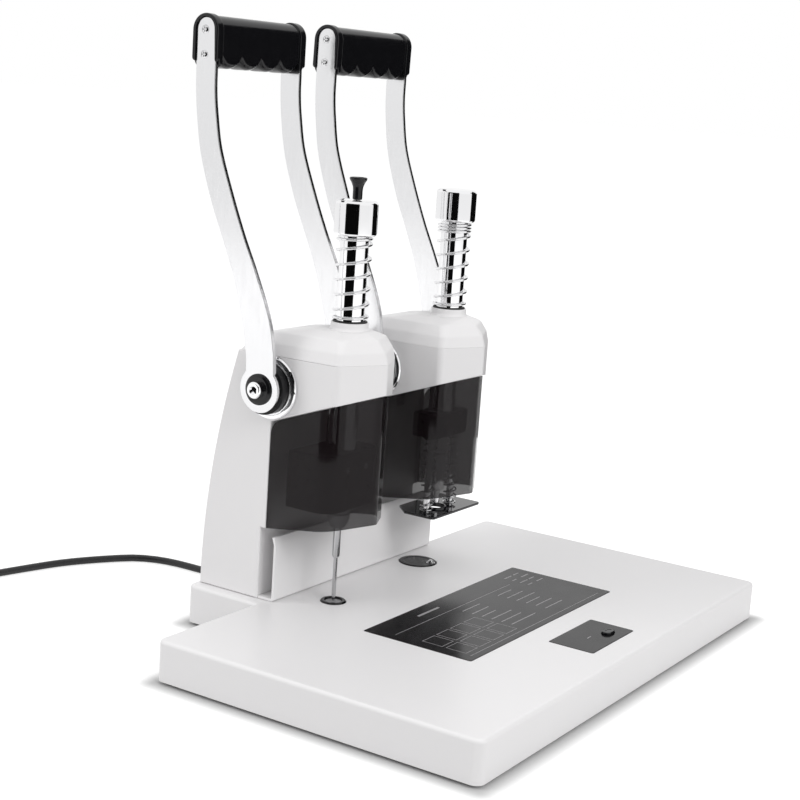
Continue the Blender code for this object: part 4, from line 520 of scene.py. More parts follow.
def make_world():
    world = bpy.data.worlds.new("studio")
    world.use_nodes = True
    bpy.context.scene.world = world
    nodes = world.node_tree.nodes
    nodes.clear()
    path = nodes.new("ShaderNodeLightPath")
    lights = []
    for strength in (0.71, 0.97, 1.0):
        light = nodes.new("ShaderNodeBackground")
        light.inputs["Color"].default_value = (1, 1, 1, 1)
        light.inputs["Strength"].default_value = strength
        lights.append(light.outputs[0])
    seen = reckoned(world, "MAXIMUM", path.outputs["Is Camera Ray"], path.outputs["Is Transmission Ray"])
    shade = mixed_shader(world, lights[0], lights[1], path.outputs["Is Glossy Ray"])
    shade = mixed_shader(world, shade, lights[2], seen)
    world.node_tree.links.new(shade, nodes.new("ShaderNodeOutputWorld").inputs["Surface"])


def beyond_box(made, place, middle, half):
    """How far a point of the floor lies outside a box."""
    feed = place
    for operation, value in (("SUBTRACT", middle), ("ABSOLUTE", None), ("SUBTRACT", half),
                             ("MAXIMUM", (0, 0, 0))):
        step = made.node_tree.nodes.new("ShaderNodeVectorMath")
        step.operation = operation
        made.node_tree.links.new(feed, step.inputs[0])
        if value:
            step.inputs[1].default_value = value
        feed = step.outputs[0]
    length = made.node_tree.nodes.new("ShaderNodeVectorMath")
    length.operation = "LENGTH"
    made.node_tree.links.new(feed, length.inputs[0])
    return length.outputs["Value"]


def make_sweep():
    """The floor: white where the camera and mirrors see it, but for a painted contact shadow, where its
    glow fades out near the base's outline.
    """
    reach, grey_level, glow_level, mirrored_share, painted_shadow_reach = 30, 0.56, 0.62, 0.80, 0.018
    mesh = bpy.data.meshes.new("floor")
    mesh.from_pydata([(-reach, -reach, 0), (reach, -reach, 0), (reach, reach, 0), (-reach, reach, 0)],
                     [], [(0, 1, 2, 3)])
    paper = bpy.data.materials.new("white_sweep")
    paper.use_nodes = True
    nodes, links = paper.node_tree.nodes, paper.node_tree.links
    nodes.clear()
    matt = nodes.new("ShaderNodeBsdfDiffuse")
    matt.inputs["Color"].default_value = (grey_level, grey_level, grey_level, 1)
    path = nodes.new("ShaderNodeLightPath")
    mirrored = reckoned(paper, "MULTIPLY", path.outputs["Is Glossy Ray"], mirrored_share)
    seen = reckoned(paper, "ADD", path.outputs["Is Camera Ray"], mirrored)
    seen = reckoned(paper, "ADD", seen, path.outputs["Is Transmission Ray"])
    place = nodes.new("ShaderNodeTexCoord").outputs["Object"]
    table = beyond_box(paper, place, (0, -0.04025, 0), (0.2325, 0.136, 1))
    tail = beyond_box(paper, place, (0, 0.08, 0), (0.1193, 0.08475, 1))
    # Painted contact shadow: the glow rises from nothing at the base's outline over this reach, so the
    # floor is darker there whatever the light.
    clear = nodes.new("ShaderNodeMapRange")
    clear.interpolation_type = "SMOOTHSTEP"
    clear.inputs["From Max"].default_value = painted_shadow_reach
    links.new(reckoned(paper, "MINIMUM", table, tail), clear.inputs["Value"])
    glow = nodes.new("ShaderNodeEmission")
    shown = reckoned(paper, "MULTIPLY", seen, clear.outputs["Result"])
    links.new(reckoned(paper, "MULTIPLY", shown, glow_level), glow.inputs["Strength"])
    both = nodes.new("ShaderNodeAddShader")
    links.new(matt.outputs[0], both.inputs[0])
    links.new(glow.outputs[0], both.inputs[1])
    links.new(both.outputs[0], nodes.new("ShaderNodeOutputMaterial").inputs["Surface"])
    mesh.materials.append(paper)
    placed("floor", mesh)


def make_cards():
    dark, shader = node_material("black_card", (0.004, 0.004, 0.004), 1.0)
    shader.inputs["Specular IOR Level"].default_value = 0
    steps, near, far, level = 24, 0.75, 1.3, 0.002
    # from and to in degrees from +Y towards +X, about the two quills; the camera stands at -122.8
    for name, start, end, tall in (("card_left", -137.4, -68.0, 1.3), ("card_low", 66.0, 96.0, 0.33),
                                   ("card_right", 96.0, 141.4, 1.3)):
        outline = []
        for step in range(steps + 1):
            angle = math.radians(start + (end - start) * step / steps)
            outline += [(out * math.sin(angle), QUILL_Y + out * math.cos(angle), height)
                        for out, height in ((near, level), (far, level), (far, tall))]
        faces = [(3 * k + i, 3 * k + i + 1, 3 * k + i + 4, 3 * k + i + 3)
                 for k in range(steps) for i in (0, 1)]
        mesh = bpy.data.meshes.new(name)
        mesh.from_pydata(outline, [], faces)
        mesh.materials.append(dark)
        card = placed(name, mesh)
        card.visible_camera = card.visible_diffuse = card.visible_shadow = False
        card.visible_transmission = False


def make_lamps():
    for name, place, size, power in (("key_lamp", (-0.7, -2.6, 2.0), 1.6, 40),
                                     ("rear_lamp", (-2.1, 1.9, 1.5), 1.4, 26),
                                     ("top_lamp", (0.4, 0.3, 2.6), 2.2, 6)):
        data = bpy.data.lights.new(name, "AREA")
        data.shape = "SQUARE"
        data.size = size
        data.energy = power
        lamp = placed(name, data)
        lamp.location = place
        lamp.rotation_euler = (Vector((0, 0, 0.2)) - Vector(place)).to_track_quat("-Z", "Y").to_euler()
        lamp.visible_glossy = False


make_world()
make_sweep()
make_cards()
make_lamps()


# Base table. One hollow white casting, 31 mm deep, with a narrower tail behind. Its top rim is well
# rounded, and it has shallow seats for the printed plates, the cutting pad and the die.

def rounded_box(left, right, low, high, radius, steps=8):
    outline = arc((right - radius, low + radius), radius, -90, 0, steps)
    outline += arc((right - radius, high - radius), radius, 0, 90, steps)
    outline += arc((left + radius, high - radius), radius, 90, 180, steps)
    return outline + arc((left + radius, low + radius), radius, 180, 270, steps)


# Turns an outline drawn in depth and height into the side view, its thickness along X
SIDE = Matrix(((0, 0, 1, 0), (1, 0, 0, 0), (0, 1, 0, 0), (0, 0, 0, 1)))


def slab(outlines, low, high, rim=0.0, view=PLAN, place=(0, 0, 0), rim_steps=3):
    """A solid between two levels from an outline and its holes, its rims rounded over."""
    curve = bpy.data.curves.new("slab", "CURVE")
    curve.dimensions = "2D"
    curve.fill_mode = "BOTH"
    curve.extrude = (high - low) / 2 - rim
    curve.bevel_depth = rim
    curve.bevel_resolution = rim_steps
    curve.offset = -rim
    for outline in outlines:
        spline = curve.splines.new("POLY")
        spline.points.add(len(outline) - 1)
        for point, (across, up) in zip(spline.points, outline):
            point.co = (across, up, 0, 1)
        spline.use_cyclic_u = True
    item = placed("slab", curve)
    bpy.context.view_layer.update()
    graph = bpy.context.evaluated_depsgraph_get()
    mesh = bpy.data.meshes.new_from_object(item.evaluated_get(graph))
    bpy.data.objects.remove(item)
    shape = bmesh.new()
    shape.from_mesh(mesh)
    bmesh.ops.remove_doubles(shape, verts=shape.verts, dist=0.000002)
    bmesh.ops.translate(shape, verts=shape.verts, vec=(0, 0, (low + high) / 2))
    bmesh.ops.transform(shape, matrix=Matrix.Translation(place) @ view, verts=shape.verts)
    bmesh.ops.recalc_face_normals(shape, faces=shape.faces)
    shape.to_mesh(mesh)
    shape.free()
    return placed("slab", mesh)


def worked(target, tool, operation="DIFFERENCE"):
    """The target cut by a tool, trimmed to it or joined to it. The tool is used up."""
    modifier = target.modifiers.new("work", "BOOLEAN")
    modifier.operation = operation
    modifier.solver = "EXACT"
    modifier.object = tool
    flattened(target)
    bpy.data.objects.remove(tool)
    return target


def bored(target, radius, top, floor, place, sides, view=PLAN, tip=None):
    """The target with a round hole between two levels. A tip lies deeper than the rest of its floor."""
    hole = [(0, top), (radius, top), (radius, floor), (0, floor if tip is None else tip)]
    return worked(target, turned(hole, place, sides, view=view))


def base_outline(inset):
    half, tail = 0.2325 - inset, 0.1193 - inset
    front, back, rear = -0.17625 + inset, 0.09575 - inset, 0.16475 - inset
    radius = 0.007 - min(inset, 0.0035)
    outline = arc((half - radius, front + radius), radius, -90, 0, 10)
    outline += arc((half - radius, back - radius), radius, 0, 90, 10)
    outline += [(tail, back)]
    outline += arc((tail - radius, rear - radius), radius, 0, 90, 10)
    outline += arc((-tail + radius, rear - radius), radius, 90, 180, 10)
    outline += [(-tail, back)]
    outline += arc((-half + radius, back - radius), radius, 90, 180, 10)
    return outline + arc((-half + radius, front + radius), radius, 180, 270, 10)


def stadium(x, y, length, width, margin=0.0, steps=16):
    """A slot's outline: two half circles and two straight sides."""
    radius = width / 2 + margin
    straight = (length - width) / 2
    return (arc((x + straight, y), radius, -90, 90, steps)
            + arc((x - straight, y), radius, 90, 270, steps))


TABLE_TOP = 0.0333
DRILL_X, RIVET_X = -0.0715, 0.0715
DIE_PLACE = (RIVET_X - 0.0033, QUILL_Y + 0.011, 0)
BUTTON = (0.015, -0.14155, 0.013, 0.008)

white = surface("satin_white_paint", (0.80, 0.79, 0.795), 0.34, (0.30, 0.38, 30), (0.000012, 1400, 1))
blended(white, noise(white, 5), (0.785, 0.775, 0.782), (0.812, 0.804, 0.808),
        white.node_tree.nodes["Principled BSDF"].inputs["Base Color"])


def make_base():
    rim, foot, wall = 0.003, 0.0025, 0.003
    shell = slab([base_outline(0)], foot - 2 * rim, TABLE_TOP, rim, rim_steps=4)
    worked(shell, slab([rounded_box(-0.25, 0.25, -0.2, 0.2, 0.001, 1)], -0.02, foot))
    worked(shell, slab([base_outline(wall)], -0.001, TABLE_TOP - wall))
    gap, seat = 0.0003, TABLE_TOP - 0.0006
    label = rounded_box(-0.11285 - gap, 0.11285 + gap, -0.09565 - gap, -0.00195 + gap, 0.0018)
    switch = rounded_box(-0.03485 - gap, 0.03485 + gap, -0.15385 - gap, -0.11665 + gap, 0.0018)
    worked(shell, slab([label], seat, TABLE_TOP + 0.004))
    worked(shell, slab([switch], seat, TABLE_TOP + 0.004))
    worked(shell, slab([stadium(*BUTTON, gap)], TABLE_TOP - 0.008, TABLE_TOP + 0.004))
    deep = TABLE_TOP - 0.0018
    for radius, place in ((0.0105, (DRILL_X, QUILL_Y, 0)), (0.0167, DIE_PLACE)):
        bored(shell, radius, TABLE_TOP + 0.004, deep, place, 64)
    along = Matrix.Rotation(math.radians(90), 4, "X")
    bored(shell, 0.0051, 0.01, -0.01, (-0.008, 0.16325, 0.0115), 32, along)
    finished(shell, "base_table", white, "white_paint", "machine", "base_shell")


make_base()


# Underside. A 3 mm steel plate closes the table from below. Cross-head screws hold it, and four
# turned rubber feet are pressed into it near its corners.

def cross_screw_tree():
    """Domed screw heads with a cross recess, one on each point, all turned the same way."""
    tree, given = new_tree("cross_screws", Radius="Float", Height="Float", Turn="Vector",
                           Finish="Material")
    radius, height = given["Radius"], given["Height"]
    dome = step_of(tree, "GeometryNodeMeshUVSphere", {"Segments": 24, "Rings": 12, "Radius": radius})
    flat = vector(tree, 1.0, 1.0, number(tree, "DIVIDE", height, radius))
    dome = step_of(tree, "GeometryNodeTransform", {"Geometry": dome, "Scale": flat})
    long, narrow = number(tree, "MULTIPLY", radius, 1.15), number(tree, "MULTIPLY", radius, 0.27)
    wide = number(tree, "MULTIPLY", radius, 4.0)
    lifted = vector(tree, z=number(tree, "MULTIPLY", height, 0.95))
    sunk = vector(tree, z=number(tree, "MULTIPLY", height, -1.0))
    cuts = []
    for size, place in ((vector(tree, long, narrow, height), lifted),
                        (vector(tree, narrow, long, height), lifted),
                        (vector(tree, wide, wide, number(tree, "MULTIPLY", height, 2.0)), sunk)):
        block = step_of(tree, "GeometryNodeMeshCube", {"Size": size})
        cuts.append(step_of(tree, "GeometryNodeTransform", {"Geometry": block, "Translation": place}))
    cut = tree.nodes.new("GeometryNodeMeshBoolean")
    cut.operation = "DIFFERENCE"
    cut.solver = "EXACT"
    tree.links.new(dome, cut.inputs["Mesh 1"])
    for tool in cuts:
        tree.links.new(tool, cut.inputs["Mesh 2"])
    heads = step_of(tree, "GeometryNodeInstanceOnPoints",
                    {"Points": given["Geometry"], "Instance": cut.outputs[0], "Rotation": given["Turn"]})
    return close_tree(tree, heads, given["Finish"])


grey = surface("plated_steel", (0.46, 0.46, 0.47), 0.4, (0.32, 0.48, 300), (0.00001, 900), Metallic=0.9)

CROSS_SCREWS = cross_screw_tree()
OUTWARD = {-1: (0, math.radians(-90), 0), 1: (0, math.radians(90), 0)}


def make_underside():
    low, high = 0.0028, 0.0058
    sheet = slab([base_outline(0.0033)], low, high, 0.0004, rim_steps=1)
    finished(sheet, "bottom_plate", grey, "grey_steel", "machine", "base_plate")
    places = [(x, y, low) for x in (-0.218, 0, 0.218) for y in (-0.160, 0.080)]
    places += [(-0.100, 0.150, low), (0.100, 0.150, low)]
    screws = grown(CROSS_SCREWS, places, Radius=0.0032, Height=0.0016, Finish=screw_steel,
                   Turn=(math.radians(180), 0, 0))
    finished(screws, "bottom_plate_screws", screw_steel, "bright_steel", "machine")
    for end, y in (("front", -0.14825), ("rear", 0.06775)):
        for side, x in (("left", -0.2045), ("right", 0.2045)):
            profile = [(0, 0.0025), (0.009, 0.0025), (0.0082, 0), (0.0046, 0), (0.0040, 0.0010),
                       (0, 0.0010)]
            foot = turned(profile, (x, y, 0), 40, rim=0.0004)
            finished(foot, f"rubber_foot_{end}_{side}", rubber, "black_rubber", "machine",
                     f"foot_{end}_{side}")


make_underside()


# Printed plates and power button. Two dark glossy films stuck in shallow seats in the table; the
# front one has an oval rocking button. Their print is plain ruled lines and empty boxes.

def ruled_lines_tree():
    """Rows of fine raised lines of seeded lengths, which start under each other."""
    tree, given = new_tree("ruled_lines", Place="Vector", Rows="Int", Pitch="Float", Stroke="Float",
                           Shortest="Float", Longest="Float", Seed="Int", Finish="Material")
    down = vector(tree, y=number(tree, "MULTIPLY", given["Pitch"], -1.0))
    rows = step_of(tree, "GeometryNodeMeshLine",
                   {"Count": given["Rows"], "Start Location": given["Place"], "Offset": down})
    bar = step_of(tree, "GeometryNodeMeshCube", {"Size": (1, 1, 1)})
    bar = step_of(tree, "GeometryNodeTransform", {"Geometry": bar, "Translation": (0.5, 0, 0)})
    length = step_of(tree, "FunctionNodeRandomValue",
                     {2: given["Shortest"], 3: given["Longest"], "Seed": given["Seed"]}, 1)
    size = vector(tree, length, given["Stroke"], 0.00006)
    bars = step_of(tree, "GeometryNodeInstanceOnPoints", {"Points": rows, "Instance": bar, "Scale": size})
    return close_tree(tree, bars, given["Finish"])


def ruled_boxes_tree():
    """A grid of empty boxes drawn in a fine raised line."""
    tree, given = new_tree("ruled_boxes", Place="Vector", Across="Int", Down="Int", Width="Float",
                           Height="Float", Space="Float", Stroke="Float", Finish="Material")
    wide = number(tree, "ADD", given["Width"], given["Space"])
    tall = number(tree, "ADD", given["Height"], given["Space"])
    spread = number(tree, "MULTIPLY", wide, number(tree, "SUBTRACT", given["Across"], 1.0))
    drop = number(tree, "MULTIPLY", tall, number(tree, "SUBTRACT", given["Down"], 1.0))
    grid = step_of(tree, "GeometryNodeMeshGrid", {"Size X": spread, "Size Y": drop,
                                                  "Vertices X": given["Across"],
                                                  "Vertices Y": given["Down"]})
    box = step_of(tree, "GeometryNodeCurvePrimitiveQuadrilateral",
                  {"Width": given["Width"], "Height": given["Height"]})
    line = step_of(tree, "GeometryNodeCurvePrimitiveQuadrilateral",
                   {"Width": given["Stroke"], "Height": 0.00006})
    frame_line = step_of(tree, "GeometryNodeCurveToMesh", {"Curve": box, "Profile Curve": line})
    boxes = step_of(tree, "GeometryNodeInstanceOnPoints", {"Points": grid, "Instance": frame_line})
    moved = step_of(tree, "GeometryNodeTransform", {"Geometry": boxes, "Translation": given["Place"]})
    return close_tree(tree, moved, given["Finish"])


film = surface("dark_gloss_film", (0.0095, 0.009, 0.0098), 0.16, (0.13, 0.19, 45), (0.000004, 420, 1),
               Specular_IOR_Level=0.22)

print_ink, ink_shader = node_material("pale_print", (0.30, 0.29, 0.30), 0.4)
blended(print_ink, noise(print_ink, 300), (0.22, 0.21, 0.22), (0.38, 0.37, 0.38),
        ink_shader.inputs["Base Color"])

moulded = surface("black_gloss_plastic", (0.005, 0.005, 0.006), 0.16, (0.12, 0.22, 90),
                  (0.000008, 700, 1), Specular_IOR_Level=0.4)

FILM_TOP = TABLE_TOP + 0.0003


def make_plates():
    low = FILM_TOP - 0.0006
    label = slab([rounded_box(-0.11285, 0.11285, -0.09565, -0.00195, 0.0015)], low, FILM_TOP,
                 0.00015, rim_steps=1)
    finished(label, "label_film", film, "panel_film", "machine", "label_panel")
    plate = slab([rounded_box(-0.03485, 0.03485, -0.15385, -0.11665, 0.0015),
                  stadium(*BUTTON, 0.0003)], low, FILM_TOP, 0.00015, rim_steps=1)
    finished(plate, "switch_film", film, "panel_film", "machine", "switch_plate")
    print_level = FILM_TOP + 0.00002
    lines, boxes = ruled_lines_tree(), ruled_boxes_tree()
    for count, (x, y, rows, pitch, stroke, shortest, longest) in enumerate((
            (-0.021, -0.0330, 6, 0.0088, 0.0009, 0.020, 0.041),
            (0.034, -0.0330, 6, 0.0088, 0.0009, 0.018, 0.034),
            (-0.0560, -0.0140, 1, 0.01, 0.0022, 0.030, 0.030),
            (0.0780, -0.0140, 4, 0.0075, 0.0012, 0.006, 0.014),
            (0.0930, -0.0140, 4, 0.0075, 0.0012, 0.005, 0.012),
            (-0.1040, -0.0250, 1, 0.01, 0.0005, 0.172, 0.172),
            (-0.1040, -0.0900, 1, 0.01, 0.0005, 0.205, 0.205),
            (-0.0080, -0.1354, 1, 0.01, 0.0009, 0.006, 0.006)), 1):
        row = grown(lines, Place=(x, y, print_level), Rows=rows, Pitch=pitch, Stroke=stroke,
                    Shortest=shortest, Longest=longest, Seed=count, Finish=print_ink)
        finished(row, f"printed_lines_{count}", print_ink, "panel_film", "machine")
    drawn = grown(boxes, Place=(-0.0640, -0.0660, print_level), Across=4, Down=2, Width=0.0160,
                  Height=0.0170, Space=0.0036, Stroke=0.0006, Finish=print_ink)
    finished(drawn, "printed_boxes", print_ink, "panel_film", "machine")


def make_button():
    top = TABLE_TOP + 0.0022
    button = slab([stadium(*BUTTON)], TABLE_TOP - 0.0045, top, 0.0009, rim_steps=4)
    dish = stadium(*BUTTON, -0.0024)
    worked(button, slab([dish], top - 0.0002, top + 0.001))
    flange = slab([stadium(*BUTTON, 0.0015)], TABLE_TOP - 0.0043, TABLE_TOP - 0.0033)
    worked(button, flange, "UNION")
    finished(button, "oval_button", moulded, "black_plastic", "button", "power_button")


make_plates()
make_button()


# Bearing surfaces. A steel cutting pad in a black ring under the drill, and a black disc with the
# lower rivet die let into it under the press. All are turned and pressed into the table.

bright = surface("polished_steel", (0.83, 0.83, 0.84), 0.12, (0.12, 0.22, 400, 3, (1, 1, 0.1)),
                 (0.000004, 900, 2, (1, 1, 0.08)), Metallic=1.0)
black = surface("black_paint", (0.007, 0.007, 0.008), 0.30, (0.24, 0.38, 200), (0.00001, 1000, 1),
                Specular_IOR_Level=0.25)


def make_bearing_surfaces():
    floor = TABLE_TOP - 0.0015
    top = TABLE_TOP + 0.0012
    profile = [(0.0070, top - 0.0003), (0.0078, top), (0.0094, top), (0.0102, TABLE_TOP),
               (0.0102, floor), (0.0070, floor)]
    ring = turned(profile, (DRILL_X, QUILL_Y, 0), 56, ring=True, rim=0.0003)
    finished(ring, "pad_seat_ring", moulded, "black_plastic", "machine", "pad_ring")
    profile = [(0, TABLE_TOP - 0.0004), (0.0024, TABLE_TOP - 0.0004), (0.0030, TABLE_TOP),
               (0.0067, TABLE_TOP), (0.0067, floor), (0, floor)]
    pad = turned(profile, (DRILL_X, QUILL_Y, 0), 48, rim=0.0002)
    finished(pad, "steel_cutting_pad", grey, "bright_steel", "machine", "cutting_pad")

    top = TABLE_TOP + 0.0008
    profile = [(0, top - 0.0003), (0.0118, top - 0.0003), (0.0124, top), (0.0156, top),
               (0.0164, TABLE_TOP), (0.0164, floor), (0, floor)]
    disc = turned(profile, DIE_PLACE, 64, rim=0.0003)
    bored(disc, 0.0042, 0.04, floor + 0.0003, (RIVET_X, QUILL_Y, 0), 32)
    finished(disc, "die_base_disc", black, "black_paint", "machine", "die_disc")
    profile = [(0, TABLE_TOP + 0.0026), (0.0009, TABLE_TOP + 0.0030), (0.0014, TABLE_TOP + 0.0030),
               (0.0028, TABLE_TOP + 0.0016), (0.0039, top), (0.0039, floor + 0.0006),
               (0, floor + 0.0006)]
    die = turned(profile, (RIVET_X, QUILL_Y, 0), 32, rim=0.0001)
    finished(die, "rivet_lower_die", bright, "bright_steel", "machine", "lower_die")


make_bearing_surfaces()


# Paper gauge. One white sheet of steel, folded back along its foot, where it is screwed to the
# table, and bent a little backwards along its top.

def make_gauge():
    face, back = 0.08675, 0.08875
    foot, rear = 0.0336, 0.10195
    sheet, lean = back - face, 0.002
    bend = 0.0014
    outline = [(face, 0.0791), (face + lean, 0.0850), (back + lean, 0.0850), (back, 0.0791)]
    outline += arc((back + bend, foot + sheet + bend), bend, 180, 270, 6)
    outline += [(rear, foot + sheet), (rear, foot)]
    outline += arc((face + 0.0022, foot + 0.0022), 0.0022, 270, 180, 6)
    gauge = slab([outline], -0.1087, 0.118, 0.0004, SIDE, rim_steps=2)
    finished(gauge, "folded_gauge", white, "white_paint", "machine", "paper_gauge")


make_gauge()


# Column. One white casting: a hollow column, the bridge and the lower half of both heads, whose
# fronts come to a blunt edge, as a prow does. It is bored for the quills and the lever shafts.

CREASE = 0.2270
PIVOT_Y, PIVOT_Z = 0.09815, 0.2024
STEP_Y, HEAD_FRONT_Y, COLUMN_FACE_Y, COLUMN_BACK_Y = 0.09705, 0.01885, 0.10225, 0.16045
LIP_FRONT, LIP_SLOPE = 0.20352, 0.35777
COLLAR_TOP = 0.2562


def back_y(height):
    """The rear face, which leans forward more and more with its height."""
    return COLUMN_BACK_Y - 0.0285 * ((height - TABLE_TOP) / (CREASE - TABLE_TOP)) ** 2


def column_side():
    foot, step = 0.0336, 0.0910
    outline = [(COLUMN_FACE_Y, foot), (COLUMN_FACE_Y, step), (STEP_Y, step),
               (STEP_Y, LIP_FRONT - LIP_SLOPE * (STEP_Y - HEAD_FRONT_Y)), (HEAD_FRONT_Y, LIP_FRONT),
               (HEAD_FRONT_Y, CREASE)]
    for count in range(29):
        height = CREASE + (foot - CREASE) * count / 28
        outline.append((back_y(height), height))
    return outline[::-1]


def prow(x, half, front, slope, corner, inset=0.0, tip=0.006, steps=12):
    """The front of a head from above, left to right: two faces that meet in a blunt edge."""
    turn = math.atan(slope)
    fall = math.degrees(turn)
    point = front - tip * (1 / math.cos(turn) - 1)
    side_y = point + slope * (half - corner) + corner / math.cos(turn)
    return (arc((x - half + corner, side_y), corner - inset, 180, 270 - fall, steps)
            + arc((x, point + tip / math.cos(turn)), tip - inset, 270 - fall, 270 + fall, 8)
            + arc((x + half - corner, side_y), corner - inset, 270 + fall, 360, steps))


def column_plan():
    gap = 0.0335
    outline = []
    for x in (DRILL_X, RIVET_X):
        outline += prow(x, 0.038, HEAD_FRONT_Y, 0.50, 0.006)
        if x == DRILL_X:
            outline += [(-gap, STEP_Y), (gap, STEP_Y)]
    return outline + [(0.1095, 0.17), (-0.1095, 0.17)]


def sector_slot(stroke):
    """The space that a lever's toothed sector sweeps, from the side, about its pivot."""
    tooth = 360 / 34
    above = tooth * (math.ceil(stroke / (math.pi * 0.002)) + 1)
    below = math.degrees(stroke / 0.034) + 2 * tooth
    return (arc((0, 0), 0.0372, 180 - above, 180 + below, 40)
            + arc((0, 0), 0.0122, below - 160, 160 - above, 12))


def opened(item, x, stroke):
    """Bore a head for its quill and open the slot for the sector."""
    bored(item, 0.0112, 0.30, 0.15, (x, QUILL_Y, 0), 48)
    worked(item, slab([sector_slot(stroke)], x - 0.0062, x + 0.0062, 0, SIDE, (0, PIVOT_Y, PIVOT_Z)))


def softened(item, chosen, radius):
    """Round over the edges whose ends both pass the test."""
    shape = bmesh.new()
    shape.from_mesh(item.data)
    edges = [edge for edge in shape.edges if all(chosen(corner.co) for corner in edge.verts)
             and edge.calc_face_angle(0) > math.radians(35)]
    bmesh.ops.bevel(shape, geom=edges, offset=radius, segments=3, profile=0.5, affect="EDGES",
                    clamp_overlap=True)
    shape.to_mesh(item.data)
    shape.free()


STROKES = {"drill": 0.0356, "rivet": 0.0470}


def make_column():
    column = slab([column_side()], -0.1095, 0.1095, 0.0012, SIDE, rim_steps=3)
    worked(column, slab([column_plan()], -0.02, CREASE, 0.0003, rim_steps=2), "INTERSECT")
    notch = [(0.005, 0.158), (STEP_Y - 0.004, 0.158), (0.17, 0.164), (0.17, 0.24), (0.005, 0.24)]
    worked(column, slab([notch], -0.0335, 0.0335, 0, SIDE))
    softened(column, lambda co: abs(abs(co.x) - 0.0335) < 0.0001 and co.y > STEP_Y + 0.002, 0.0012)
    hollow = [(0.10625, 0.02), (0.15645, 0.02), (back_y(0.15) - 0.004, 0.150), (0.10625, 0.150)]
    worked(column, slab([hollow], -0.1055, 0.1055, 0, SIDE))
    for label, x in (("drill", DRILL_X), ("rivet", RIVET_X)):
        opened(column, x, STROKES[label])
    across = Matrix.Rotation(math.radians(90), 4, "Y")
    bored(column, 0.0063, 0.12, -0.12, (0, PIVOT_Y, PIVOT_Z), 32, across)
    finished(column, "column_casting", white, "white_paint", "machine", "column_shell", edge=28)


make_column()


# Head caps. A white faceted hood on each head, which draws in from the crease to the collar that
# guides the quill. A thin black ring on the collar round the quill is painted shade: the dark line under
# the spring.

def loft(rings):
    """A closed solid through rings with the same number of points."""
    shape = bmesh.new()
    loops = [[shape.verts.new(point) for point in ring] for ring in rings]
    count = len(loops[0])
    for lower, upper in zip(loops, loops[1:]):
        for i in range(count):
            after = (i + 1) % count
            shape.faces.new((lower[i], lower[after], upper[after], upper[i]))
    shape.faces.new(loops[0][::-1])
    shape.faces.new(loops[-1])
    return meshed("loft", shape)


def eased_rows(rows, reach=0.14):
    """Rows of numbers with each break between them rounded off a little."""
    rows = [Vector(row) for row in rows]
    line = [rows[0]]
    for before, corner, after in zip(rows, rows[1:], rows[2:]):
        first, last = corner.lerp(before, reach), corner.lerp(after, reach)
        line += [first * (1 - share) ** 2 + corner * 2 * share * (1 - share) + last * share ** 2
                 for share in (0, 0.25, 0.5, 0.75, 1)]
    return line + [rows[-1]]


def hood_ring(x, level, half, front, back, corner, slope):
    """A level section of the hood: a prow in front and two round corners behind."""
    high = QUILL_Y + back
    outline = prow(x, half, QUILL_Y - front, slope, corner)
    outline += arc((x + half - corner, high - corner), corner, 0, 90, 12)
    outline += arc((x - half + corner, high - corner), corner, 90, 180, 12)
    return [(across, along, level) for across, along in outline]


def make_head_cap(label, x):
    low, rise = CREASE + 0.00005, 0.02245
    # height, half width, front and back from the quill, corner radius, and slope of the prow
    sections = ((0, 0.0380, 0.0368, 0.0763, 0.0060, 0.500),
                (0.39, 0.0355, 0.0340, 0.0705, 0.0069, 0.478),
                (0.77, 0.0300, 0.0270, 0.0518, 0.0092, 0.410),
                (0.94, 0.0200, 0.0185, 0.0285, 0.0139, 0.140),
                (1, 0.0175, 0.0155, 0.0180, 0.0150, 0.050))
    cap = loft([hood_ring(x, low + rise * share, *sizes) for share, *sizes in eased_rows(sections)])
    collar = [(0, COLLAR_TOP - 0.0009), (0.0145, COLLAR_TOP - 0.0009), (0.0145, 0.2512),
              (0.0155, 0.2496), (0.0166, 0.2470), (0, 0.2470)]
    worked(cap, turned(collar, (x, QUILL_Y, 0), 64, rim=0.0007), "UNION")
    opened(cap, x, STROKES[label])
    finished(cap, f"{label}_hood", white, "white_paint", "machine", f"{label}_head_cap", edge=26)
    # A thin black ring under the spring: painted shade for the dark line where the spring meets the
    # collar.
    painted_shade_ring = [(0.0114, COLLAR_TOP + 0.0001), (0.0132, COLLAR_TOP + 0.0001), (0.0134, COLLAR_TOP - 0.0008),
            (0.0114, COLLAR_TOP - 0.0008)]
    ring = turned(painted_shade_ring, (x, QUILL_Y, 0), 56, ring=True, rim=0.0002)
    finished(ring, f"{label}_seal", rubber, "black_rubber", "machine")


make_head_cap("drill", DRILL_X)
make_head_cap("rivet", RIVET_X)


# Smoked covers. A guard of clear smoked acrylic under each head, bent round its front and both
# sides from one sheet, and cut along its top to the head's sloping lip.

smoked = surface("smoked_acrylic", (0.010, 0.007, 0.008), 0.05, (0.03, 0.07, 25), (0.00001, 60, 1),
                 Alpha=0.66, Specular_IOR_Level=0.24)


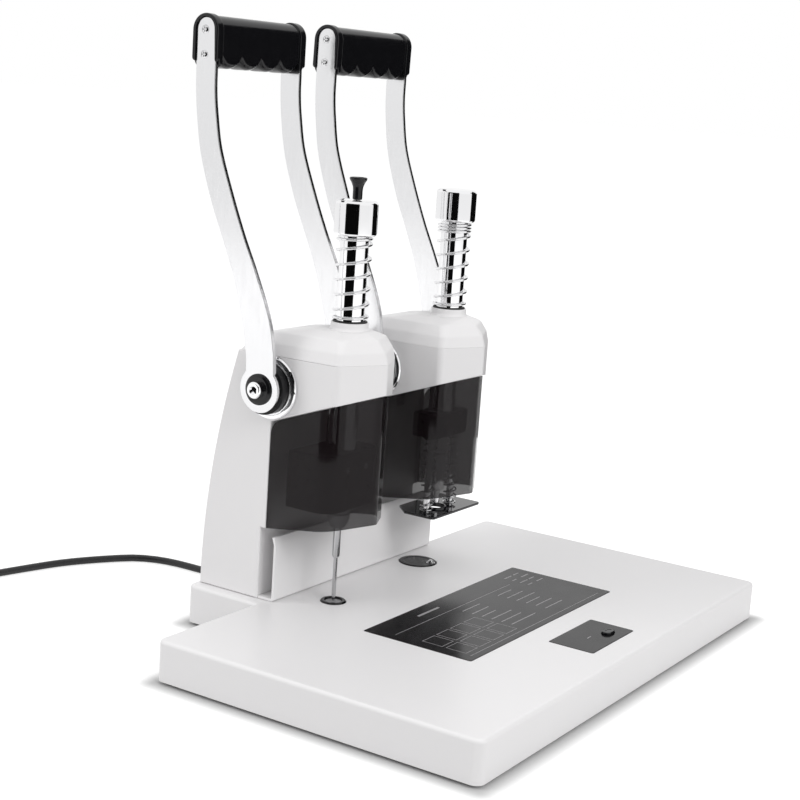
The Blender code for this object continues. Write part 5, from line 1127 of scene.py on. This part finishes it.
def make_cover(label, x):
    half, wall = 0.038, 0.0025
    front, back = 0.02045, STEP_Y - 0.0003
    outline, inner = (prow(x, half, front, 0.52, 0.022, inset, steps=24) for inset in (0, wall))
    outline += [(x + half, back), (x + half - wall, back)] + inner[::-1]
    outline += [(x - half + wall, back), (x - half, back)]
    cover = slab([outline], 0.08, 0.22, 0)
    corner = 0.013
    top = LIP_FRONT - LIP_SLOPE * (front - HEAD_FRONT_Y) - 0.0003 * math.hypot(1, LIP_SLOPE)
    back_top = top - LIP_SLOPE * (back - front)
    lean = math.atan(LIP_SLOPE)
    reach = corner * math.tan((math.pi / 2 - lean) / 2)
    side = [(back, 0.0913)]
    side += arc((back - corner, back_top - reach), corner, 0, 90 - math.degrees(lean), 10)
    side += [(front - 0.01, top + LIP_SLOPE * 0.01), (front - 0.01, 0.1024 + 0.01 * 0.1453)]
    worked(cover, slab([side], x - 0.05, x + 0.05, 0, SIDE), "INTERSECT")
    edges = cover.modifiers.new("eased", "BEVEL")
    edges.width = 0.0004
    edges.segments = 2
    edges.limit_method = "ANGLE"
    edges.angle_limit = math.radians(40)
    flattened(cover)
    finished(cover, f"{label}_guard", smoked, "smoked_plastic", "machine", f"{label}_cover")


make_cover("drill", DRILL_X)
make_cover("rivet", RIVET_X)


# Lever pivots. On both sides of each head a grooved chrome ring is pressed into the casting, and a
# black hub turns in it. A black washer and a chrome socket screw clamp the arm to the shaft.

chrome = surface("bright_chrome", (0.93, 0.93, 0.94), 0.05, (0.03, 0.07, 60), (0.000003, 120, 1),
                 Metallic=1.0)

SIDES = (("left", -1), ("right", 1))
HEADS = (("drill", DRILL_X), ("rivet", RIVET_X))
ARM_MIDDLE, ARM_HALF = 0.0518, 0.00175


def outward(side):
    """Stands a turned piece on its side, with its top away from the head."""
    return Matrix.Rotation(side * math.radians(90), 4, "Y")


def make_pivot(label, x, side_name, side):
    place, view, body = (x, PIVOT_Y, PIVOT_Z), outward(side), f"{label}_lever"
    low, high, bore = 0.0383, 0.0413, 0.0063
    profile = [(bore, high), (0.0201, high), (0.0203, high - 0.0009), (0.0212, high - 0.0009),
               (0.0215, high - 0.0002), (0.0238, high - 0.0002), (0.0248, high - 0.0012), (0.0248, low),
               (bore, low)]
    ring = turned(profile, place, 72, True, view, 0.0002)
    finished(ring, f"{label}_bearing_ring_{side_name}", chrome, "chrome", "machine",
             f"{label}_ring_{side_name}")
    low, high = 0.0416, ARM_MIDDLE - ARM_HALF - 0.0003
    profile = [(bore, high), (0.0196, high), (0.0200, high - 0.0008), (0.0200, low + 0.0024),
               (0.0188, low + 0.0012), (0.0188, low), (bore, low)]
    hub = turned(profile, place, 64, True, view, 0.0003)
    finished(hub, f"{label}_turning_hub_{side_name}", black, "black_paint", body,
             f"{label}_hub_{side_name}")
    low = ARM_MIDDLE + ARM_HALF + 0.0003
    high = low + 0.0018
    profile = [(0.0042, high), (0.0098, high), (0.0120, high - 0.0009), (0.0120, low), (0.0042, low)]
    washer = turned(profile, place, 56, True, view, 0.0003)
    finished(washer, f"{label}_washer_{side_name}", moulded, "black_plastic", body)
    top = high + 0.005
    profile = [(0, top), (0.0055, top), (0.00645, top - 0.0011), (0.00645, high + 0.0001),
               (0.0040, high + 0.0001), (0.0040, 0.0402), (0, 0.0402)]
    screw = turned(profile, place, 48, False, view, 0.0004)
    bored(screw, 0.0038, top + 0.002, top - 0.0048, place, 6, view, top - 0.0052)
    finished(screw, f"{label}_socket_screw_{side_name}", chrome, "chrome", body,
             f"{label}_pivot_screw_{side_name}")


for head, head_x in HEADS:
    for side_word, direction in SIDES:
        make_pivot(head, head_x, side_word, direction)


# Lever arms. Polished steel bars, cut from 3.5 mm plate and swept back, with eased edges. The lower
# eye is clamped to the shaft, the rivet lever's a little forward, and the upper end is in the grip.

LEANS = {"drill": 0.0, "rivet": math.radians(1.5)}


def leaned(points, lean):
    """Points about the pivot, as depth and height, leaned forward by an angle."""
    return [(back * math.cos(lean) - up * math.sin(lean), back * math.sin(lean) + up * math.cos(lean))
            for back, up in points]


def arm_line():
    """Stations along the arm about its pivot: how far back, how high, and half its width."""
    shares = ((0.000, 0.080, 1.000), (0.094, 0.185, 0.980), (0.286, 0.307, 0.819),
              (0.475, 0.405, 0.743), (0.689, 0.519, 0.762), (0.867, 0.636, 0.721),
              (0.946, 0.733, 0.705), (0.979, 0.803, 0.694), (0.988, 0.873, 0.702),
              (1.000, 0.967, 0.664))
    return smooth_rows([(0.0659 * back, 0.2718 * up, 0.01325 * width) for back, up, width in shares], 7)


def arm_outline(margin=0.0):
    line = arm_line()
    rear, fore = [], []
    for i, point in enumerate(line):
        ahead = line[min(i + 1, len(line) - 1)] - line[max(i - 1, 0)]
        across = Vector((ahead.y, -ahead.x)).normalized() * (point.z + margin)
        rear.append((point.x + across.x, point.y + across.y))
        fore.append((point.x - across.x, point.y - across.y))
    eye = 0.018 + margin
    neck = math.degrees(math.asin((0.01325 + margin) / eye))
    outline = arc((0, 0), eye, 90 + neck, 450 - neck, 48)
    outline += rear[1:-1]
    end = line[-1]
    outline += arc((end.x, 0.2718 - end.z), end.z + margin, 0, 180, 24)
    return outline + fore[-2:0:-1]


def make_arm(label, x, side_name, side):
    middle = x + side * ARM_MIDDLE
    hole = arc((0, 0), 0.0063, 0, 360, 32)[:-1]
    arm = slab([leaned(arm_outline(), LEANS[label]), hole], middle - ARM_HALF, middle + ARM_HALF,
               0.0004, SIDE, (0, PIVOT_Y, PIVOT_Z), 2)
    finished(arm, f"{label}_lever_arm_{side_name}", bright, "bright_steel", f"{label}_lever",
             f"{label}_arm_{side_name}", edge=40)


for head, head_x in HEADS:
    for side_word, direction in SIDES:
        make_arm(head, head_x, side_word, direction)


# Grips. Black gloss mouldings with four finger lobes between two end flanges, which take the arms'
# ends in pockets. Two cross-head screws hold each arm.

def grip_ring(x, inset, corner, lean, drop=0.0):
    """The grip's section: a round top, straight sides and a softened underside."""
    half, top, bottom = 0.0122 - inset, 0.2747 - inset, 0.2395 + inset - drop
    section = arc((0, top - half), half, 0, 180, 28)
    section += arc((-half + corner, bottom + corner), corner, 180, 270, 7)
    section += arc((half - corner, bottom + corner), corner, 270, 360, 7)
    section = leaned([(0.0659 + across, up) for across, up in section], lean)
    return [(x, PIVOT_Y + back, PIVOT_Z + up) for back, up in section]


def make_grip(label, x):
    end, body, easing, lean, flange = 0.055, 0.047, 0.0012, LEANS[label], 0.0045
    rings = []
    for side in (-1, 1):
        edge = [grip_ring(x + side * (end - easing * (1 - math.sin(math.radians(angle)))),
                          easing * (1 - math.cos(math.radians(angle))), 0.0025, lean)
                for angle in (90, 60, 30, 0)]
        edge += [grip_ring(x + side * along, inset, corner, lean, drop)
                 for along, inset, corner, drop in (
                     (end - 0.0035, 0, 0.0025, 0), (end - 0.0038, 0, 0.0045, flange - 0.0010),
                     (end - 0.0046, 0, 0.0045, flange), (body + 0.0012, 0, 0.0045, flange),
                     (body + 0.0006, 0.0002, 0.0045, flange), (body + 0.0002, 0.0009, 0.0050, flange))]
        rings = rings + edge[::-1] if side > 0 else edge
        if side < 0:
            for step in range(4 * 12 + 1):
                drop = 0.006 * math.sin(math.pi * (step % 12) / 12) ** 0.6
                rings.append(grip_ring(x - body + 2 * body * step / 48, 0.0012, 0.0055, lean, drop))
    grip = loft(rings)
    floor = ARM_MIDDLE - ARM_HALF - 0.0003
    for side in (-1, 1):
        low, high = sorted((x + side * floor, x + side * 0.06))
        worked(grip, slab([leaned(arm_outline(0.0003), lean)], low, high, 0, SIDE,
                          (0, PIVOT_Y, PIVOT_Z)))
    finished(grip, f"{label}_moulded_grip", moulded, "black_plastic", f"{label}_lever",
             f"{label}_grip", edge=38)
    for side_name, side in SIDES:
        face = x + side * (ARM_MIDDLE + ARM_HALF - 0.0001)
        places = [(face, PIVOT_Y + back, PIVOT_Z + up)
                  for back, up in leaned([(0.0666, 0.2627), (0.0667, 0.2444)], lean)]
        screws = grown(CROSS_SCREWS, places, Radius=0.0033, Height=0.0014, Finish=screw_steel,
                       Turn=OUTWARD[side])
        finished(screws, f"{label}_grip_screws_{side_name}", screw_steel, "bright_steel",
                 f"{label}_lever")


for head, head_x in HEADS:
    make_grip(head, head_x)


# Lever shafts. A turned steel shaft through each head, with a sector of involute teeth that drives
# the rack in the back of the quill. It is tapped at both ends for the socket screws.

def sector_outline(stroke):
    """The toothed sector about its pivot: full-depth teeth of module 2 at 20 degrees."""
    pitch, pressure = 0.034, math.radians(20)
    base = pitch * math.cos(pressure)

    def half_angle(radius):
        local = math.acos(min(base / radius, 1))
        involute = math.tan(pressure) - pressure - math.tan(local) + local
        return math.pi / 68 + involute - 0.000075 / pitch

    outline = []
    radii = [0.0315 + (0.0360 - 0.0315) * step / 6 for step in range(7)]
    for tooth in range(-1, math.ceil(stroke / (math.pi * 0.002)) + 1):
        centre = tooth * math.tau / 34
        for radius, way in [(r, -1) for r in radii] + [(r, 1) for r in reversed(radii)]:
            angle = centre + way * half_angle(radius)
            outline.append((-radius * math.cos(angle), radius * math.sin(angle)))
    start = math.degrees(math.atan2(outline[0][1], outline[0][0])) % 360
    end = math.degrees(math.atan2(outline[-1][1], outline[-1][0])) % 360
    return outline + arc((0, 0), 0.011, end - 30, start - 330, 24)


def make_shaft(label, x):
    half = ARM_MIDDLE + ARM_HALF - 0.0003
    profile = [(0, half), (0.0060, half), (0.0060, -half), (0, -half)]
    shaft = turned(profile, (x, PIVOT_Y, PIVOT_Z), 40, False, outward(1), 0.0005)
    sector = slab([sector_outline(STROKES[label])], x - 0.005, x + 0.005, 0.0003, SIDE,
                  (0, PIVOT_Y, PIVOT_Z), 1)
    worked(shaft, sector, "UNION")
    for side in (-1, 1):
        bored(shaft, 0.0043, 0.06, 0.0398, (x, PIVOT_Y, PIVOT_Z), 24, outward(side), 0.0390)
    finished(shaft, f"{label}_sector_shaft", grey, "grey_steel", f"{label}_lever",
             f"{label}_lever_shaft")


for head, head_x in HEADS:
    make_shaft(head, head_x)


# Quills. Chromed posts with rack teeth down their backs and heavy chrome caps on top; the drill's is
# bored for its needle. A return spring of one steel wire lies round each, from collar to cap.

def spring_tree():
    """One wire in a helix on an upright axis: a closed curl below, and the closed ones on top."""
    tree, given = new_tree("coil_spring", Place="Vector", Wire="Float", Radius="Float", Low="Float",
                           High="Float", Curls="Float", Closed="Float", Finish="Material")
    per_curl = 28.0
    points = number(tree, "ADD", number(tree, "MULTIPLY", given["Curls"], per_curl), 1.0)
    line = step_of(tree, "GeometryNodeCurvePrimitiveLine", {})
    line = step_of(tree, "GeometryNodeResampleCurve", {"Curve": line, "Count": points}, mode="COUNT")
    turns = number(tree, "DIVIDE", step_of(tree, "GeometryNodeInputIndex", {}), per_curl)
    angle = number(tree, "MULTIPLY", turns, math.tau)
    end_rise = number(tree, "ADD", given["Wire"], 0.0006)
    below = number(tree, "SUBTRACT", given["Curls"], given["Closed"])
    inner = number(tree, "SUBTRACT", below, 1.0)
    closed = number(tree, "ADD", given["Closed"], 1.0)
    span = number(tree, "SUBTRACT", number(tree, "SUBTRACT", given["High"], given["Low"]), given["Wire"])
    pitch = number(tree, "DIVIDE",
                   number(tree, "SUBTRACT", span, number(tree, "MULTIPLY", end_rise, closed)), inner)
    first = number(tree, "MULTIPLY", end_rise, number(tree, "MINIMUM", turns, 1.0))
    middle = number(tree, "MINIMUM",
                    number(tree, "MAXIMUM", number(tree, "SUBTRACT", turns, 1.0), 0.0), inner)
    last = number(tree, "MAXIMUM", number(tree, "SUBTRACT", turns, below), 0.0)
    height = number(tree, "ADD", first, number(tree, "MULTIPLY", middle, pitch))
    height = number(tree, "ADD", height, number(tree, "MULTIPLY", last, end_rise))
    height = number(tree, "ADD", height, number(tree, "ADD", given["Low"],
                                                number(tree, "MULTIPLY", given["Wire"], 0.5)))
    around = vector(tree, number(tree, "MULTIPLY", number(tree, "COSINE", angle), given["Radius"]),
                    number(tree, "MULTIPLY", number(tree, "SINE", angle), given["Radius"]), height)
    placed_at = step_of(tree, "ShaderNodeVectorMath", {0: around, 1: given["Place"]}, operation="ADD")
    helix = step_of(tree, "GeometryNodeSetPosition", {"Geometry": line, "Position": placed_at})
    section = step_of(tree, "GeometryNodeCurvePrimitiveCircle",
                      {"Resolution": 12, "Radius": number(tree, "MULTIPLY", given["Wire"], 0.5)})
    wire = step_of(tree, "GeometryNodeCurveToMesh",
                   {"Curve": helix, "Profile Curve": section, "Fill Caps": True})
    return close_tree(tree, wire, given["Finish"])


spring_wire = surface("spring_wire", (0.86, 0.86, 0.87), 0.12, (0.08, 0.20, 500), Metallic=1.0)

COIL_SPRING = spring_tree()
CAP_LOW, CAP_HIGH = 0.3208, 0.3473


def rack_cut(stroke):
    """What is cut from the back of a quill to leave its teeth, about its axis."""
    pitch, pitch_line = math.pi * 0.002, 0.0085
    root, tip, outside = pitch_line - 0.0025, pitch_line + 0.002, 0.015
    slant, half = math.tan(math.radians(20)), math.pi * 0.0005 - 0.000075
    low, high = PIVOT_Z - 1.6 * pitch, PIVOT_Z + stroke + 1.6 * pitch
    outline = [(outside, low), (root, low)]
    for tooth in range(-2, math.ceil(stroke / pitch) + 2):
        centre = PIVOT_Z + (tooth + 0.5) * pitch
        at_root, at_tip = half + 0.0025 * slant, half - 0.002 * slant
        if low < centre - at_root and centre + at_root < high:
            outline += [(root, centre - at_root), (tip, centre - at_tip), (tip, centre + at_tip),
                        (root, centre + at_root)]
    return outline + [(root, high), (outside, high)]


def make_quill(label, x, body, bottom, bore, lift, curls, closed):
    cap_low, cap_high = CAP_LOW + lift, CAP_HIGH + lift
    seat, radius = cap_low + 0.019, 0.0109
    top = seat - 0.0003
    profile = [(bore, top), (radius, top), (radius, bottom), (bore, bottom)]
    post = turned(profile, (x, QUILL_Y, 0), 64, bore > 0, rim=0.0008)
    worked(post, slab([rack_cut(STROKES[label])], x - 0.013, x + 0.013, 0, SIDE, (0, QUILL_Y, 0)))
    finished(post, f"{label}_post", chrome, "chrome", body, f"{label}_quill")
    inner, outer = radius + 0.0003, 0.0164
    profile = [(bore, cap_high), (outer - 0.0018, cap_high), (outer, cap_high - 0.0018),
               (outer, cap_low + 0.0014), (outer - 0.0014, cap_low), (inner, cap_low), (inner, seat),
               (bore, seat)]
    cap = turned(profile, (x, QUILL_Y, 0), 80, bore > 0, rim=0.0009)
    finished(cap, f"{label}_post_cap", chrome, "chrome", body, f"{label}_quill_cap")
    wire = grown(COIL_SPRING, Place=(x, QUILL_Y, 0), Wire=0.002, Radius=0.0130,
                 Low=COLLAR_TOP + 0.0003, High=cap_low - 0.0003, Curls=curls, Closed=closed,
                 Finish=spring_wire)
    finished(wire, f"{label}_return_spring", spring_wire, "spring_steel", "machine",
             f"{label}_post_spring", edge=60)
    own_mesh(wire)


make_quill("drill", DRILL_X, "drill_feed", 0.1563, 0.0022, 0, 7.0, 1.0)
make_quill("rivet", RIVET_X, "rivet_press", 0.1683, 0, 0.0062, 9.0, 3.0)


# Clearing needle. A bright steel wire down the middle of the drill, drawn up by a flared black
# moulded knob that is pressed on its top end.

tool_steel = surface("tool_steel", (0.50, 0.50, 0.51), 0.16, (0.12, 0.24, 500, 3, (1, 1, 0.1)),
                     (0.000004, 900, 2, (1, 1, 0.08)), Metallic=1.0)


def make_needle():
    place, low = (DRILL_X, QUILL_Y, 0), 0.0336
    knob_low = CAP_HIGH + 0.0003
    profile = [(0, knob_low + 0.0107), (0.0016, knob_low + 0.0107), (0.0016, low + 0.0018), (0.0007, low),
               (0, low)]
    finished(turned(profile, place, 28, rim=0.0003), "clearing_wire", tool_steel, "bright_steel",
             "clearing_needle", "needle")
    profile = [(0, 0.0158), (0.0038, 0.0161), (0.0060, 0.0169), (0.0068, 0.0163), (0.0066, 0.0150),
               (0.0051, 0.0126), (0.0040, 0.0098), (0.0037, 0.0070), (0.0037, 0.0010), (0.0033, 0),
               (0.0019, 0), (0.0019, 0.0110), (0, 0.0110)]
    profile = [(radius, knob_low + height) for radius, height in profile]
    finished(turned(profile, place, 48, rim=0.0006), "flared_knob", moulded, "black_plastic",
             "clearing_needle", "needle_knob")


make_needle()


# Drilling head. A black drive case hangs on the quill, with two small screws in its face. Its
# grooved steel chuck holds the hollow bit.

def make_drilling_head():
    x, low, high = DRILL_X, 0.1110, 0.1560
    front, back, half, corner = 0.04075, 0.08175, 0.034, 0.014
    outline = arc((x + half - corner, front + corner), corner, -90, 0, 14)
    outline += [(x + half, back), (x - half, back)]
    outline += arc((x - half + corner, front + corner), corner, 180, 270, 14)
    case = slab([outline], low, high, 0.0014, rim_steps=3)
    groove = slab([[(x + across * 1.1, QUILL_Y + (along - QUILL_Y) * 1.1) for across, along
                    in ((-half, front), (half, front), (half, back), (-half, back))]],
                  high - 0.0068, high - 0.0060)
    core = slab([[(x + (across - x) * 0.985, QUILL_Y + (along - QUILL_Y) * 0.98)
                  for across, along in outline]], high - 0.01, high - 0.002)
    worked(groove, core)
    worked(case, groove)
    bored(case, 0.0022, high + 0.01, low - 0.01, (x, QUILL_Y, 0), 24)
    finished(case, "drive_housing", black, "black_paint", "drill_feed", "drive_case")
    places = [(x + across, front + 0.0001, high - 0.0125) for across in (-0.012, 0.012)]
    screws = grown(CROSS_SCREWS, places, Radius=0.0026, Height=0.0012, Finish=screw_steel,
                   Turn=(math.radians(90), 0, 0))
    finished(screws, "drive_housing_screws", screw_steel, "bright_steel", "drill_feed")
    profile = [(0.0022, 0.1107), (0.0090, 0.1107), (0.0090, 0.1066), (0.0084, 0.1063), (0.0084, 0.1055),
               (0.0090, 0.1052), (0.0090, 0.1010), (0.0055, 0.0940), (0.0033, 0.0940), (0.0033, 0.1073),
               (0.0022, 0.1073)]
    finished(turned(profile, (x, QUILL_Y, 0), 48, True, rim=0.0003), "grooved_chuck", grey,
             "grey_steel", "spindle", "chuck")
    profile = [(0.0022, 0.1070), (0.0030, 0.1070), (0.0030, 0.0708), (0.0023, 0.0692), (0.0022, 0.0692)]
    finished(turned(profile, (x, QUILL_Y, 0), 32, True), "hollow_bit", tool_steel, "bright_steel",
             "spindle", "drill_bit")


make_drilling_head()


# Riveting head. A black guide block and a heated steel punch hang on the quill. A thin black foot
# plate hangs below on two rods that slide in the block, and two springs press it down.

mirror = surface("black_mirror_steel", (0.010, 0.010, 0.012), 0.06, (0.04, 0.09, 100),
                 (0.000004, 90, 1))


def make_riveting_head():
    x, low, high = RIVET_X, 0.1480, 0.1680
    rod_y, rods = QUILL_Y - 0.003, (("left", -0.0183), ("right", 0.0183))
    outline = rounded_box(x - 0.0265, x + 0.0265, QUILL_Y - 0.0125, QUILL_Y + 0.0135, 0.006, 10)
    block = slab([outline], low, high, 0.0012, rim_steps=3)
    for _, across in rods:
        bored(block, 0.0033, high + 0.01, low - 0.01, (x + across, rod_y, 0), 24)
    finished(block, "press_block", black, "black_paint", "rivet_press", "guide_block")
    profile = [(0, low - 0.0003), (0.0065, low - 0.0003), (0.0065, 0.1330), (0.0059, 0.1325),
               (0.0059, 0.1315), (0.0065, 0.1310), (0.0065, 0.1000), (0.0035, 0.0993), (0.0035, 0.0880),
               (0.0020, 0.0880), (0, 0.0892)]
    finished(turned(profile, (x, QUILL_Y, 0), 40, rim=0.0004), "heated_punch", bright, "bright_steel",
             "rivet_press", "rivet_punch")
    left, right = x - 0.032, x + 0.0445
    front, rear, cut, corner = QUILL_Y - 0.0189, QUILL_Y + 0.024, 0.014, 0.003
    outline = arc((right - corner, front + corner), corner, -90, 0, 8)
    outline += arc((right - corner, rear - corner), corner, 0, 90, 8)
    outline += [(left + cut, rear), (left, rear - cut)]
    outline += arc((left + corner, front + corner), corner, 180, 270, 8)
    hole = arc((x, QUILL_Y), 0.0085, 0, 360, 48)[:-1]
    plate = slab([outline, hole], 0.0816, 0.0836, 0.0004, rim_steps=2)
    collar = turned([(0.0085, 0.0852), (0.0104, 0.0852), (0.0108, 0.0830), (0.0085, 0.0830)],
                    (x, QUILL_Y, 0), 48, True, rim=0.0003)
    worked(plate, collar, "UNION")
    finished(plate, "pressure_foot", mirror, "black_mirror", "presser_foot", "foot_plate")
    for side_name, across in rods:
        profile = [(0, high + 0.0028), (0.0038, high + 0.0028), (0.0045, high + 0.0020),
                   (0.0045, high + 0.0003), (0.0030, high + 0.0003), (0.0030, 0.0834), (0, 0.0834)]
        rod = turned(profile, (x + across, rod_y, 0), 32, rim=0.0003)
        finished(rod, f"guide_rod_{side_name}", bright, "bright_steel", "presser_foot")
        wire = grown(COIL_SPRING, Place=(x + across, rod_y, 0), Wire=0.0012, Radius=0.0052,
                     Low=0.0839, High=low - 0.0003, Curls=12.0, Closed=1.0, Finish=spring_wire)
        finished(wire, f"foot_spring_{side_name}", spring_wire, "spring_steel", "rivet_press",
                 f"guide_spring_{side_name}", edge=60)
        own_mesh(wire)


make_riveting_head()
